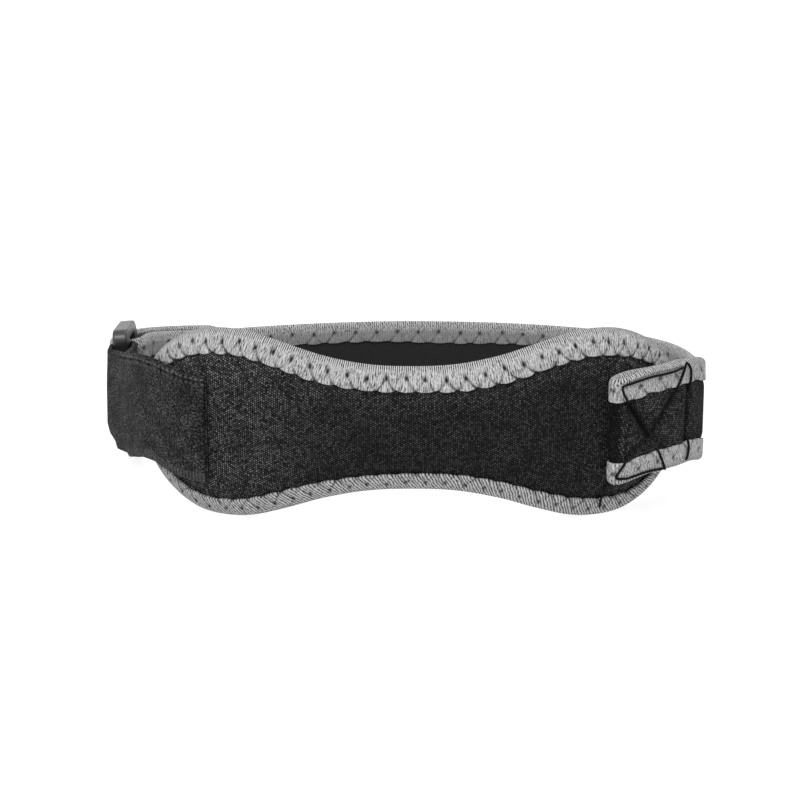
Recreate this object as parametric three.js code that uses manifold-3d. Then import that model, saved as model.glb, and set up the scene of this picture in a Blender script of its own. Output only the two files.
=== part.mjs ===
// A patella strap: a padded band worn round the leg just below the kneecap. A dog-bone shaped pad lies in front,
// a narrow strap runs round the back from the pad's right end, and passes through a ring that a tab holds at the
// pad's left end, round the ring's rear bar and back on itself. Millimetres, +Z up, the pad faces -Y, and the
// origin is the middle of the part's foot on the surface that it rests on.

import * as THREE from 'three';
import { mergeVertices } from 'three/addons/utils/BufferGeometryUtils.js';
import Module from 'manifold-3d';

// The closed loop, seen from above: half its width, and how far it reaches to the front and to the back

const loopHalfWidth = 79.5;
const loopFront = 33;
const loopBack = 46;

// The pad, its edge tape and its foam

const padHalfLength = 91;
const padHalfHeight = 27.8;
const padRimHalf = 1.0;
const padFlatHalf = 2.2;
const padCrownHalf = 3.5;
const padLevel = -1.0;

// The pad's long edges curl back towards the leg: how far, and over what height

const padCurl = 5;
const curlReach = 14;

// The strap and its edge tape

const strapHalfWidth = 15.75;
const strapRimHalf = 0.5;
const strapHalf = 1.4;
const strapCorner = 9;
const strapStart = 56.3;
const turnedUnder = 28;
const turnedRamp = 14;
const freeLength = 30;
const approach = 20;

// The grey tape that is folded over an edge: its width seen, and its wall

const tapeWidth = 6.7;
const tapeWall = 1.0;

// The ring: behind the pad's left end, outside the loop line, turned and leaning outward at its top

const ringBehindPad = 21.3;
const ringOutside = 5.9;
const ringTurn = 14;
const ringLean = 5.5;
const ringLevel = -2.2;
const ringHalfLength = 20.2;
const slotHalfLength = 16.8;
const barWidth = 4.2;
const slotWidth = 9.4;
const ringThickness = 4.6;
const ringCorner = 3.4;
const ringBevel = 0.6;

// The tab that holds the ring

const tabHalf = 0.7;
const tabSewn = 32.5;
const tabSlack = 0.8;

// The hook patch on the free end

const patchHalfWidth = 7.2;
const patchLength = 20;
const patchThickness = 1.4;

// The level of the strap's and the tab's middle where they are sewn, of the tab at the ring, and how far the
// strap sags behind

const sewnLevel = -1.6;
const strapRise = 3.0;
const tabRise = 2.6;
const tabLevelAtRing = -2.2;
const strapSag = 3.0;

// Clearances between pieces, and how far cloth flattens where it rests

const gap = 0.3;
const slack = 0.7;
const settle = 0.6;

// The loop line, seen from above, one row for each point: shares of the half width, and of the reach to the
// front (below zero) or to the back

const loopRows = [
  { across: 0.0, along: -1.0 },
  { across: 0.33, along: -0.965 },
  { across: 0.62, along: -0.85 },
  { across: 0.82, along: -0.64 },
  { across: 0.95, along: -0.31 },
  { across: 1.0, along: 0.1 },
  { across: 0.93, along: 0.45 },
  { across: 0.72, along: 0.74 },
  { across: 0.4, along: 0.93 },
  { across: 0.0, along: 1.0 },
  { across: -0.4, along: 0.97 },
  { across: -0.74, along: 0.83 },
  { across: -0.97, along: 0.55 },
  { across: -1.03, along: 0.18 },
  { across: -0.97, along: -0.25 },
  { across: -0.82, along: -0.64 },
  { across: -0.62, along: -0.85 },
  { across: -0.33, along: -0.965 },
];

// The pad's outline, from its middle to its end: shares of its half length and of its half height

const padRows = [
  { along: 0.0, height: 0.645 },
  { along: 0.14, height: 0.665 },
  { along: 0.28, height: 0.75 },
  { along: 0.41, height: 0.88 },
  { along: 0.52, height: 0.975 },
  { along: 0.61, height: 1.0 },
  { along: 0.71, height: 0.965 },
  { along: 0.81, height: 0.84 },
  { along: 0.89, height: 0.66 },
  { along: 0.96, height: 0.38 },
  { along: 1.0, height: 0.0 },
];

// The strap's sag, from the pad's right end round the back to the ring: shares of that way and of the sag

const sagRows = [
  { way: 0.0, sag: 0.4 },
  { way: 0.06, sag: 0.62 },
  { way: 0.3, sag: 0.66 },
  { way: 0.57, sag: 0.68 },
  { way: 0.84, sag: 1.0 },
  { way: 1.0, sag: 0.43 },
];

// Sizes that follow from those above

const padTapeHalf = padRimHalf + gap + tapeWall;
const strapTapeHalf = strapRimHalf + gap + tapeWall;
const strapOut = padTapeHalf + gap + strapTapeHalf;
const foldRadius = strapTapeHalf + slack / 2;
const barCorner = Math.hypot(barWidth / 2, ringThickness / 2 - ringBevel);
const barWrap = barCorner + gap + strapTapeHalf;
const barSpan = (slotWidth + barWidth) / 2;
const freeSpacing = 2 * strapHalf + patchThickness + 2 * gap;
const tabInner = padTapeHalf + gap + tabHalf;
const tabOuter = tabInner + 2 * tabHalf + gap;
const tabWrap = ringThickness / 2 + gap + tabHalf + tabSlack;

const up = new THREE.Vector3(0, 0, 1);

const loop = new THREE.CatmullRomCurve3(
  loopRows.map((row) => {
    const reach = row.along < 0 ? loopFront : loopBack;
    return new THREE.Vector3(row.across * loopHalfWidth, row.along * reach, 0);
  }),
  true,
  'centripetal'
);
loop.arcLengthDivisions = 1200;
const loopLength = loop.getLength();
const ringPlace = loopLength - padHalfLength - ringBehindPad;
const barPlace = ringPlace - barSpan;

// A smooth step from 0 to 1 as x goes from a to b

function ease(x, a, b) {
  return THREE.MathUtils.smoothstep(x, a, b);
}

// The place at distance s along the loop line from the middle of the pad, out from it and up from its level

function onLoop(s, out, level) {
  const share = THREE.MathUtils.euclideanModulo(s / loopLength, 1);
  const outward = new THREE.Vector3().crossVectors(loop.getTangentAt(share), up).normalize();
  return loop.getPointAt(share).addScaledVector(outward, out).addScaledVector(up, level);
}

// The loop line's direction at a distance along it

function alongLoop(s) {
  return loop.getTangentAt(THREE.MathUtils.euclideanModulo(s / loopLength, 1));
}

// The ring's own axes: along it from the front bar to the rear bar, up its length, and out through its slot

function ringFrame() {
  const centre = onLoop(ringPlace, ringOutside, ringLevel);
  const back = alongLoop(ringPlace).negate().applyAxisAngle(up, THREE.MathUtils.degToRad(ringTurn));
  const outward = new THREE.Vector3().crossVectors(up, back).normalize();
  const lean = THREE.MathUtils.degToRad(ringLean);
  const rise = up.clone().multiplyScalar(Math.cos(lean)).addScaledVector(outward, Math.sin(lean));
  const out = new THREE.Vector3().crossVectors(rise, back).normalize();
  return { centre, back, rise, out };
}

const ring = ringFrame();

// A place in the ring's frame, at a level up its length

function onRing(back, out, rise) {
  return ring.centre.clone()
    .addScaledVector(ring.back, back)
    .addScaledVector(ring.out, out)
    .addScaledVector(ring.rise, rise);
}

// A band that follows a row of places. Each station keeps its place, its distance along the band, and the
// directions across the band and through it. The band leans with the ring by the share that lean gives

function makeBand(stations) {
  const band = [];
  let distance = 0;
  for (let i = 0; i < stations.length; i += 1) {
    const here = stations[i].place;
    const before = stations[Math.max(i - 1, 0)].place;
    const after = stations[Math.min(i + 1, stations.length - 1)].place;
    const along = after.clone().sub(before).normalize();
    const rise = up.clone().lerp(ring.rise, stations[i].lean).normalize();
    const through = new THREE.Vector3().crossVectors(along, rise).normalize();
    if (i > 0) {
      distance += here.distanceTo(stations[i - 1].place);
    }
    band.push({ place: here, rise, through, distance });
  }
  return band;
}

// The place at a distance along a band, up it by v and through it by n

function onBand(band, distance, v, n) {
  let i = 0;
  while (i < band.length - 2 && band[i + 1].distance < distance) {
    i += 1;
  }
  const a = band[i];
  const b = band[i + 1];
  const share = (distance - a.distance) / (b.distance - a.distance);
  const rise = a.rise.clone().lerp(b.rise, share).normalize();
  const through = a.through.clone().lerp(b.through, share).normalize();
  return a.place.clone().lerp(b.place, share).addScaledVector(rise, v).addScaledVector(through, n);
}

// One closed body from rings of places. The rings join end to end when the body is a closed loop, and an open
// body's ends are filled when it has ends. Faces turn out whichever way the rings run

function skin(rings, { closed = false, section = null } = {}) {
  const count = rings[0].length;
  const places = rings.flat();
  const faces = [];
  const spans = closed ? rings.length : rings.length - 1;
  for (let i = 0; i < spans; i += 1) {
    const a = i * count;
    const b = ((i + 1) % rings.length) * count;
    for (let j = 0; j < count; j += 1) {
      const k = (j + 1) % count;
      faces.push([a + j, b + j, b + k], [a + j, b + k, a + k]);
    }
  }
  if (section) {
    const last = (rings.length - 1) * count;
    for (const [p, q, r] of THREE.ShapeUtils.triangulateShape(section, [])) {
      faces.push([p, q, r], [last + p, last + r, last + q]);
    }
  }
  return body(places, faces);
}

// A geometry from places and faces, with doubled places merged, faces of no area left out, and faces out

function body(places, faces) {
  const loose = new THREE.BufferGeometry();
  loose.setAttribute('position', new THREE.Float32BufferAttribute(places.flatMap((p) => p.toArray()), 3));
  loose.setIndex(faces.flat());
  const merged = mergeVertices(loose, 1e-4);
  const index = merged.getIndex().array;
  const kept = [];
  for (let i = 0; i < index.length; i += 3) {
    const [a, b, c] = [index[i], index[i + 1], index[i + 2]];
    if (a !== b && b !== c && c !== a) {
      kept.push([a, b, c]);
    }
  }
  const position = merged.getAttribute('position');
  const [p, q, r] = [new THREE.Vector3(), new THREE.Vector3(), new THREE.Vector3()];
  let volume = 0;
  for (const [a, b, c] of kept) {
    p.fromBufferAttribute(position, a);
    q.fromBufferAttribute(position, b);
    r.fromBufferAttribute(position, c);
    volume += p.dot(q.cross(r));
  }
  merged.setIndex((volume < 0 ? kept.map(([a, b, c]) => [a, c, b]) : kept).flat());
  merged.computeVertexNormals();
  return merged;
}

// The edge tape's section: inward from the edge, and through the cloth. It is a narrow channel, open inward

function tapeSection(half) {
  const inner = half - tapeWall;
  return [
    [tapeWidth, half * 0.94],
    [half * 0.9, half],
    [half * 0.28, half * 0.72],
    [0, 0],
    [half * 0.28, -half * 0.72],
    [half * 0.9, -half],
    [tapeWidth, -half * 0.94],
    [tapeWidth, -inner],
    [tapeWall + gap, -inner],
    [tapeWall, 0],
    [tapeWall + gap, inner],
    [tapeWidth, inner],
  ].map(([inward, through]) => new THREE.Vector2(inward, through));
}

// The tape along an edge. Each point of the edge has its place in the flat cloth and its inward direction there,
// and put gives the real place inward from such a point and through the cloth

function tape(edge, half, put, closed) {
  const section = tapeSection(half);
  const rings = edge.map((point) => section.map((p) => put(point, p.x, p.y)));
  return skin(rings, closed ? { closed } : { section });
}

// The pad's outline in the flat: its upper edge from left to right, then the same edge mirrored below, each
// point with its inward direction

function padOutline(steps) {
  const right = padRows.map((row) => new THREE.Vector3(row.along * padHalfLength, row.height * padHalfHeight, 0));
  const left = right.slice(1).map((p) => new THREE.Vector3(-p.x, p.y, 0)).reverse();
  const under = [...left, ...right].slice(1, -1).map((p) => new THREE.Vector3(p.x, -p.y, 0)).reverse();
  const curve = new THREE.CatmullRomCurve3([...left, ...right, ...under], true, 'centripetal');
  curve.arcLengthDivisions = 1200;
  const upper = Array.from({ length: steps + 1 }, (_, i) => {
    const tip = i === 0 || i === steps;
    const p = curve.getPointAt(i / (2 * steps));
    const along = curve.getTangentAt(i / (2 * steps));
    return {
      along: tip ? Math.sign(p.x) * padHalfLength : p.x,
      height: tip ? 0 : p.y,
      inAlong: tip ? -Math.sign(p.x) : along.y,
      inHeight: tip ? 0 : -along.x,
    };
  });
  const lower = upper.slice(1, -1).reverse().map((e) => ({ ...e, height: -e.height, inHeight: -e.inHeight }));
  return [...upper, ...lower];
}

// The pad bends with the loop line, and its flat cloth maps straight onto it

function onPad(along, height, through) {
  return onLoop(along, through, height + padLevel);
}

// A place inward from a point of the pad's edge and through the cloth, with the curl of the long edges: the
// cloth's middle falls back from the loop line as a parabola, and through is measured square to it

function onPadEdge(edge, inward, through) {
  const left = Math.max(0, 1 - inward / curlReach);
  const curl = padCurl * edge.inHeight ** 2;
  const slope = (2 * curl / curlReach) * left;
  const length = Math.hypot(1, slope);
  const shift = inward - (through * slope) / length;
  const out = through / length - curl * left ** 2;
  return onPad(edge.along + edge.inAlong * shift, edge.height + edge.inHeight * shift, out);
}

// The pad's foam body: thin under the tape, then flat, and crowned in the middle between the sewn ends

function makePad(outline) {
  const inset = [
    { inward: tapeWall + 2 * gap, half: padRimHalf },
    { inward: tapeWidth, half: padRimHalf },
    { inward: tapeWidth + gap, half: padFlatHalf },
  ];
  const shares = [0.12, 0.4, 0.72, 1];
  const rings = [];
  for (const side of [1, -1]) {
    const half = inset.map(({ inward, half: through }) => outline.map((e) => onPadEdge(e, inward, side * through)));
    for (const share of shares) {
      half.push(outline.map((e) => {
        const a = e.along + e.inAlong * (tapeWidth + gap);
        const h = e.height + e.inHeight * (tapeWidth + gap);
        const middle = a * (1 - padHalfHeight / padHalfLength * 0.45);
        const free = 1 - ease(Math.abs(a), strapStart - 20, strapStart - 5);
        const swell = Math.sin(share * Math.PI / 2) ** 0.8 * free;
        const through = padFlatHalf + (padCrownHalf - padFlatHalf) * swell;
        const curl = padCurl * e.inHeight ** 2 * (1 - (tapeWidth + gap) / curlReach) ** 2 * (1 - share) ** 3;
        return onPad(a + (middle - a) * share, h * (1 - share), side * through - curl);
      }));
    }
    rings.push(...(side > 0 ? half.reverse() : half));
  }
  return skin(rings);
}

// The level of the strap's middle at a distance along the loop line. It is sewn on a little aslant, so it rises
// from the fold to the seam, and comes down again round the side

function strapLevel(s) {
  const rise = ease(s, strapStart - 3, strapStart + 11) - ease(s, strapStart + 22, strapStart + 40);
  const sewn = sewnLevel + strapRise * rise;
  const way = THREE.MathUtils.clamp((s - padHalfLength) / (barPlace - padHalfLength), -0.06, 1);
  if (way < 0) {
    return sewn - strapSag * sagRows[0].sag * ease(way, -0.06, 0);
  }
  const i = Math.max(1, sagRows.findIndex((row) => row.way >= way));
  const [a, b] = [sagRows[i - 1], sagRows[i]];
  const share = (way - a.way) / (b.way - a.way);
  return sewn - strapSag * THREE.MathUtils.lerp(a.sag, b.sag, share);
}

// The strap's route: the turned-under end, the fold, round the back at its own level, the wrap round the
// ring's rear bar, and the free end outside it

function strapStations() {
  const stations = [];
  const add = (place, lean) => stations.push({ place, lean });
  const second = strapOut + 2 * foldRadius;
  const leaning = (s) => ease(s, barPlace - 45, barPlace - 4);
  for (let i = 0; i <= 6; i += 1) {
    const s = strapStart + turnedUnder - (turnedUnder - foldRadius) * (i / 6);
    add(onLoop(s, strapOut, strapLevel(s)), 0);
  }
  for (let i = 1; i < 8; i += 1) {
    const angle = Math.PI * (i / 8);
    const s = strapStart + foldRadius * (1 - Math.sin(angle));
    add(onLoop(s, strapOut + foldRadius * (1 - Math.cos(angle)), strapLevel(s)), 0);
  }
  const leave = barPlace - approach;
  const outer = leave - strapStart - foldRadius;
  const steps = Math.round(outer / 5.6);
  for (let i = 0; i <= steps; i += 1) {
    const s = strapStart + foldRadius + outer * (i / steps);
    const down = ease(s, strapStart + turnedUnder, strapStart + turnedUnder + turnedRamp);
    add(onLoop(s, THREE.MathUtils.lerp(second, strapOut, down), strapLevel(s)), leaning(s));
  }
  const atRing = strapLevel(barPlace) - ringLevel;
  const inside = onRing(barSpan, -barWrap, atRing);
  const outside = onRing(barSpan, barWrap, atRing);
  const back = ring.back;
  const inner = onLoop(leave, strapOut, strapLevel(leave));
  const curveIn = easyCurve(inner, alongLoop(leave), inside, back.clone().negate());
  for (let i = 1; i < 4; i += 1) {
    add(curveIn.getPointAt(i / 4), leaning(leave + approach * (i / 4)));
  }
  for (let i = 0; i <= 10; i += 1) {
    const angle = Math.PI * (i / 10);
    add(onRing(barSpan - barWrap * Math.sin(angle), -barWrap * Math.cos(angle), atRing), 1);
  }
  const last = barPlace - freeLength;
  const free = onLoop(last, strapOut + freeSpacing, strapLevel(last));
  const curveOut = easyCurve(outside, back, free, alongLoop(last).negate());
  for (let i = 1; i <= 8; i += 1) {
    add(curveOut.getPointAt(i / 8), leaning(barPlace - freeLength * (i / 8)));
  }
  return stations;
}

// A smooth curve from one place to another, with its direction at each

function easyCurve(from, leaving, to, arriving) {
  const pull = from.distanceTo(to) / 3;
  const first = from.clone().addScaledVector(leaving, pull);
  const second = to.clone().addScaledVector(arriving, -pull);
  return new THREE.CubicBezierCurve3(from, first, second, to);
}

// The strap's core: thin under the tape, full between the two tapes, its free end rounded

function makeStrap(band) {
  const end = band[band.length - 1].distance;
  const rim = strapHalfWidth - tapeWall - 2 * gap;
  const step = strapHalfWidth - tapeWidth;
  const last = end - tapeWall - 2 * gap;
  const cuts = band.map((station) => station.distance).filter((distance) => distance < end - strapCorner - 0.5);
  const round = [0, 0.3, 0.6, 0.85, 1].map((share) => end - strapCorner + (last - end + strapCorner) * share);
  const full = end - strapCorner;
  const stops = [...cuts, ...round, full - gap, full].sort((a, b) => a - b);
  const rings = stops.map((distance) => {
    const half = distance < full ? strapHalf : strapRimHalf;
    const into = Math.max(0, distance - (end - strapCorner));
    const radius = strapCorner - tapeWall - 2 * gap;
    const edge = rim - radius + Math.sqrt(Math.max(0.04, radius ** 2 - Math.min(into, radius) ** 2));
    const rows = [
      [-edge, -strapRimHalf], [-step, -strapRimHalf], [-step + gap, -half],
      [step - gap, -half], [step, -strapRimHalf], [edge, -strapRimHalf],
      [edge, strapRimHalf], [step, strapRimHalf], [step - gap, half],
      [-step + gap, half], [-step, strapRimHalf], [-edge, strapRimHalf],
    ];
    return rows.map(([v, n]) => onBand(band, distance, v, n));
  });
  const section = [
    [-rim, -1], [-step, -1], [-step + gap, -2], [step - gap, -2], [step, -1], [rim, -1],
    [rim, 1], [step, 1], [step - gap, 2], [-step + gap, 2], [-step, 1], [-rim, 1],
  ].map(([v, n]) => new THREE.Vector2(v, n));
  return skin(rings, { section });
}

// The strap's edge in the flat: up one side, round the free end and back down the other side

function strapEdge(band) {
  const end = band[band.length - 1].distance;
  const stops = band.map((station) => station.distance).filter((distance) => distance < end - strapCorner - 0.5);
  stops.push(end - strapCorner);
  const side = (sign) => stops.map((along) => ({ along, height: sign * strapHalfWidth, inAlong: 0, inHeight: -sign }));
  const corner = (sign) => [1, 2, 3, 4, 5].map((i) => {
    const angle = (Math.PI / 2) * (i / 5);
    return {
      along: end - strapCorner + strapCorner * Math.sin(angle),
      height: sign * (strapHalfWidth - strapCorner + strapCorner * Math.cos(angle)),
      inAlong: -Math.sin(angle),
      inHeight: -sign * Math.cos(angle),
    };
  });
  const across = [{ along: end, height: 0, inAlong: -1, inHeight: 0 }];
  return [...side(1), ...corner(1), ...across, ...corner(-1).reverse(), ...side(-1).reverse()];
}

// The tab's route: sewn on the pad, out to the ring, round its front bar and back on its own outside

function tabStations() {
  const stations = [];
  const add = (place, lean) => stations.push({ place, lean });
  const leaning = (s) => ease(s, padHalfLength - 14, padHalfLength + ringBehindPad - barSpan);
  const reach = padHalfLength + 4;
  const start = padHalfLength - tabSewn;
  const level = (s) => sewnLevel + tabRise * (ease(s, start, start + 21) - ease(s, start + 21, reach + 3));
  for (let i = 0; i <= 12; i += 1) {
    const s = start + (reach - start) * (i / 12);
    add(onLoop(-s, tabInner, level(s)), leaning(s));
  }
  const atRing = tabLevelAtRing - ringLevel;
  add(onRing(-barSpan - 5, -tabWrap, atRing), 1);
  for (let i = 0; i <= 10; i += 1) {
    const angle = Math.PI * (i / 10);
    add(onRing(-barSpan + tabWrap * Math.sin(angle), -tabWrap * Math.cos(angle), atRing), 1);
  }
  add(onRing(-barSpan - 5, tabWrap * 0.92, atRing), 1);
  for (let i = 12; i >= 0; i -= 1) {
    const s = start + (reach - start) * (i / 12);
    add(onLoop(-s, tabOuter, level(s)), leaning(s));
  }
  return stations;
}

// A plain band of cloth with rounded long edges

function makeRibbon(band, halfWidth, half) {
  const section = [
    [-halfWidth, 0], [-halfWidth + half, -half], [halfWidth - half, -half],
    [halfWidth, 0], [halfWidth - half, half], [-halfWidth + half, half],
  ].map(([v, n]) => new THREE.Vector2(v, n));
  const rings = band.map((station) => section.map((p) => onBand(band, station.distance, p.x, p.y)));
  return skin(rings, { section });
}

// The ring: a rounded rectangle with one slot, its edges bevelled

function roundedRectangle(target, halfWidth, halfLength, corner) {
  target.moveTo(halfWidth, -halfLength + corner);
  target.lineTo(halfWidth, halfLength - corner);
  target.absarc(halfWidth - corner, halfLength - corner, corner, 0, Math.PI / 2);
  target.lineTo(-halfWidth + corner, halfLength);
  target.absarc(-halfWidth + corner, halfLength - corner, corner, Math.PI / 2, Math.PI);
  target.lineTo(-halfWidth, -halfLength + corner);
  target.absarc(-halfWidth + corner, -halfLength + corner, corner, Math.PI, 1.5 * Math.PI);
  target.lineTo(halfWidth - corner, -halfLength);
  target.absarc(halfWidth - corner, -halfLength + corner, corner, 1.5 * Math.PI, 2 * Math.PI);
  return target;
}

function makeRing() {
  const outline = roundedRectangle(new THREE.Shape(), slotWidth / 2 + barWidth, ringHalfLength, ringCorner);
  outline.holes.push(roundedRectangle(new THREE.Path(), slotWidth / 2, slotHalfLength, 0.8));
  const flat = new THREE.ExtrudeGeometry(outline, {
    depth: ringThickness - 2 * ringBevel,
    bevelThickness: ringBevel,
    bevelSize: ringBevel,
    bevelOffset: -ringBevel,
    bevelSegments: 2,
    curveSegments: 6,
  });
  flat.translate(0, 0, ringBevel - ringThickness / 2);
  flat.applyMatrix4(new THREE.Matrix4().makeBasis(ring.back, ring.rise, ring.out.clone().negate()));
  flat.translate(ring.centre.x, ring.centre.y, ring.centre.z);
  flat.deleteAttribute('normal');
  flat.deleteAttribute('uv');
  return mergeVertices(flat, 1e-4);
}

// The hook patch lies between the free end and the strap under it

function makePatch(band) {
  const end = band[band.length - 1].distance;
  const start = end - tapeWidth - gap - patchLength;
  const half = patchThickness / 2;
  const through = strapHalf + gap + half;
  const section = [[-patchHalfWidth, -half], [patchHalfWidth, -half], [patchHalfWidth, half], [-patchHalfWidth, half]];
  const rings = [0, 0.2, 0.4, 0.6, 0.8, 1].map((share) =>
    section.map(([v, n]) => onBand(band, start + patchLength * share, v, through + n))
  );
  return skin(rings, { section: section.map(([v, n]) => new THREE.Vector2(v, n)) });
}

// A part of a solid is cut away with another solid

const wasm = await Module();
wasm.setup();

function solid(geometry) {
  const position = geometry.getAttribute('position');
  const vertProperties = new Float32Array(position.array);
  const triVerts = new Uint32Array(geometry.getIndex().array);
  return new wasm.Manifold(new wasm.Mesh({ numProp: 3, vertProperties, triVerts }));
}

function cut(geometry, cutter) {
  const mesh = solid(geometry).subtract(solid(cutter)).getMesh();
  const result = new THREE.BufferGeometry();
  result.setAttribute('position', new THREE.BufferAttribute(new Float32Array(mesh.vertProperties), 3));
  result.setIndex(new THREE.BufferAttribute(new Uint32Array(mesh.triVerts), 1));
  result.computeVertexNormals();
  return result;
}

// The surface that the strap rests on, in the loop's own frame: it touches the pad's lobes and the back of the
// strap, so the loop leans back on it

function lowest(geometry, turn) {
  const turned = geometry.clone().applyMatrix4(turn);
  turned.computeBoundingBox();
  return turned.boundingBox.min.z;
}

function restTilt() {
  const lobe = padRows.reduce((low, row) => (row.height > low.height ? row : low));
  const front = onPad(lobe.along * padHalfLength, -padHalfHeight, -padCurl);
  const back = onLoop(loopLength / 2, strapOut, strapLevel(loopLength / 2) - strapHalfWidth);
  return Math.atan2(back.z - front.z, back.y - front.y);
}

function makeFloor(level, turn) {
  const size = 4 * (loopHalfWidth + loopBack);
  const block = new THREE.BoxGeometry(size, size, size).translate(0, 0, level - size / 2);
  block.deleteAttribute('normal');
  block.deleteAttribute('uv');
  return mergeVertices(block).applyMatrix4(turn.clone().invert());
}

// Each piece is a mesh of its own

function piece(name, geometry, color, roughness, metalness = 0) {
  const material = new THREE.MeshStandardMaterial({ color, roughness, metalness });
  const mesh = new THREE.Mesh(geometry, material);
  mesh.name = name;
  return mesh;
}

const outline = padOutline(44);
const strapBand = makeBand(strapStations());
const tabBand = makeBand(tabStations());
const turn = new THREE.Matrix4().makeRotationX(-restTilt());

const ringGeometry = makeRing();

function onStrapEdge(edge, inward, through) {
  return onBand(strapBand, edge.along + edge.inAlong * inward, edge.height + edge.inHeight * inward, through);
}

const padTape = tape(outline, padTapeHalf, onPadEdge, true);
const strapTape = tape(strapEdge(strapBand), strapTapeHalf, onStrapEdge, false);
const clothFoot = Math.min(lowest(padTape, turn), lowest(strapTape, turn)) + settle;
const floorLevel = Math.min(clothFoot, lowest(ringGeometry, turn));
const floor = makeFloor(floorLevel, turn);

const loopGroup = new THREE.Group();
loopGroup.add(piece('pad', makePad(outline), 0x292929, 0.95));
loopGroup.add(piece('pad_binding', cut(padTape, floor), 0xa6a6a6, 0.9));
loopGroup.add(piece('strap', makeStrap(strapBand), 0x282828, 0.95));
loopGroup.add(piece('strap_binding', cut(strapTape, floor), 0xa0a0a0, 0.9));
loopGroup.add(piece('ring_tab', makeRibbon(tabBand, strapHalfWidth, tabHalf), 0x363636, 1));
loopGroup.add(piece('ring_buckle', ringGeometry, 0x303030, 0.45));
loopGroup.add(piece('hook_patch', makePatch(strapBand), 0x1e1e1e, 0.9));
loopGroup.rotation.x = -restTilt();

// The whole part stands on its foot, with the origin under the middle of its box

const patellaStrap = new THREE.Group();
patellaStrap.add(loopGroup);
const box = new THREE.Box3().setFromObject(patellaStrap, true);
loopGroup.position.set(-(box.min.x + box.max.x) / 2, -(box.min.y + box.max.y) / 2, -floorLevel);

export default patellaStrap;
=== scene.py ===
"""A patella strap in Blender: the padded cloth, tape, tab, ring and threads of a band worn below the
kneecap.

Each new piece is a surface worked out with numpy in the flat cloth, then bent round the closed loop, and the
pad is then blown up a little by cloth simulation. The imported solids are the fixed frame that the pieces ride
on. Lengths are in millimetres until to_part. Each table says what its numbers are.
"""

import math

import bmesh
import bpy
import numpy as np
from bpy.props import FloatProperty, FloatVectorProperty, PointerProperty
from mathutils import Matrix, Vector


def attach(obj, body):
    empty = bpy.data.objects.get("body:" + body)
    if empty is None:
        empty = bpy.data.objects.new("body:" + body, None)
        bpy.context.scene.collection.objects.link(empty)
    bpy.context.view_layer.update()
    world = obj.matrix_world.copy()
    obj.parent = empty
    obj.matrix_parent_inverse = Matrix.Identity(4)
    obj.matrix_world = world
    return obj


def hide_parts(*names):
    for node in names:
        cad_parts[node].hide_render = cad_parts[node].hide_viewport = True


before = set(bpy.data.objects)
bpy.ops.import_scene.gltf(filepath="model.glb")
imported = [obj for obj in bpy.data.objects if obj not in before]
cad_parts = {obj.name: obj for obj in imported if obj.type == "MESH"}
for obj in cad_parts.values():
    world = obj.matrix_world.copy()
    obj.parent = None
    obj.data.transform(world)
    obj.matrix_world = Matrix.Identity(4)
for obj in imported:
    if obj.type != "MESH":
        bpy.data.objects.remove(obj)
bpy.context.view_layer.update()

bl_info = {
    "name": "Patella strap",
    "version": (1, 0, 0),
    "blender": (4, 5, 0),
    "location": "View3D > Sidebar > Strap",
    "description": "Builds the cloth, tape, ring and threads of a patella strap round its solids",
    "category": "Add Mesh",
}

# The sizes that the solids have too

REST_TILT = math.radians(7.43)
LOOP_PLACE = np.array([3.342, -8.170, 25.605])

LOOP_HALF_WIDTH, LOOP_FRONT, LOOP_BACK = 79.5, 33.0, 46.0
PAD_HALF_LENGTH, PAD_HALF_HEIGHT, PAD_LEVEL = 91.0, 27.8, -1.0
PAD_RIM_HALF, PAD_FLAT_HALF = 1.0, 2.2
PAD_CURL, CURL_REACH = 5.0, 14.0
STRAP_HALF_WIDTH, STRAP_RIM_HALF, STRAP_HALF = 15.75, 0.5, 1.4
STRAP_CORNER, STRAP_START, TURNED_UNDER, TURNED_RAMP = 9.0, 56.3, 28.0, 14.0
FREE_LENGTH, APPROACH = 30.0, 20.0
TAPE_WIDTH, TAPE_WALL = 6.7, 1.0
RING_BEHIND_PAD, RING_OUTSIDE, RING_TURN, RING_LEAN, RING_LEVEL = 21.3, 5.9, 14.0, 5.5, -2.2
RING_HALF_LENGTH, SLOT_HALF_LENGTH, BAR_WIDTH, SLOT_WIDTH, RING_THICKNESS = 20.2, 16.8, 4.2, 9.4, 4.6
RING_BEVEL, RING_CORNER, SLOT_CORNER = 0.6, 3.4, 1.6
TAB_HALF, TAB_SEWN, TAB_SLACK, TAB_LEVEL_AT_RING = 0.7, 32.5, 0.8, -2.2
SEWN_LEVEL, STRAP_SAG, STRAP_RISE, TAB_RISE = -1.6, 3.0, 3.0, 2.6
HOOK_LENGTH, HOOK_HALF_WIDTH, HOOK_HALF = 20.0, 7.2, 0.7
GAP, SLACK = 0.3, 0.7

# The sizes that only the cloth has

FOLD_TUCK, TUCK_REACH, FREE_LIFT = 1.3, 9.0, 0.06
PAD_INSET, PAD_SEAM_HALF, PAD_ROUND = 4.2, 0.75, 10.5
PAD_SLACK_HALF, PAD_SWELL, PAD_PRESSURE, PAD_STIFFNESS, BLOWN_FRAMES = 2.9, 0.9, 1600.0, 2.0, 14
PAD_PUCKER, PAD_WANDER = 0.22, 0.16
TAB_BELLY, TAB_DROOP, TAB_DROOP_AT, TAB_DROOP_REACH = 2.2, 1.4, 0.825, 5.5
TAB_SEAM, TAB_SELVEDGE, TAB_STITCH, TAB_DASH, TAB_RIB = 14.3, 12.9, 5.2, 1.7, 1.1
TAB_PAST_PAD, TAB_STRAIGHT, TAB_PINCH, TAB_RISE_REACH, TAB_LEAN_FROM = 4.0, 5.0, 0.92, 21.0, 14.0
LEAN_FROM, LEAN_TO = 45.0, 4.0
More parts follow.
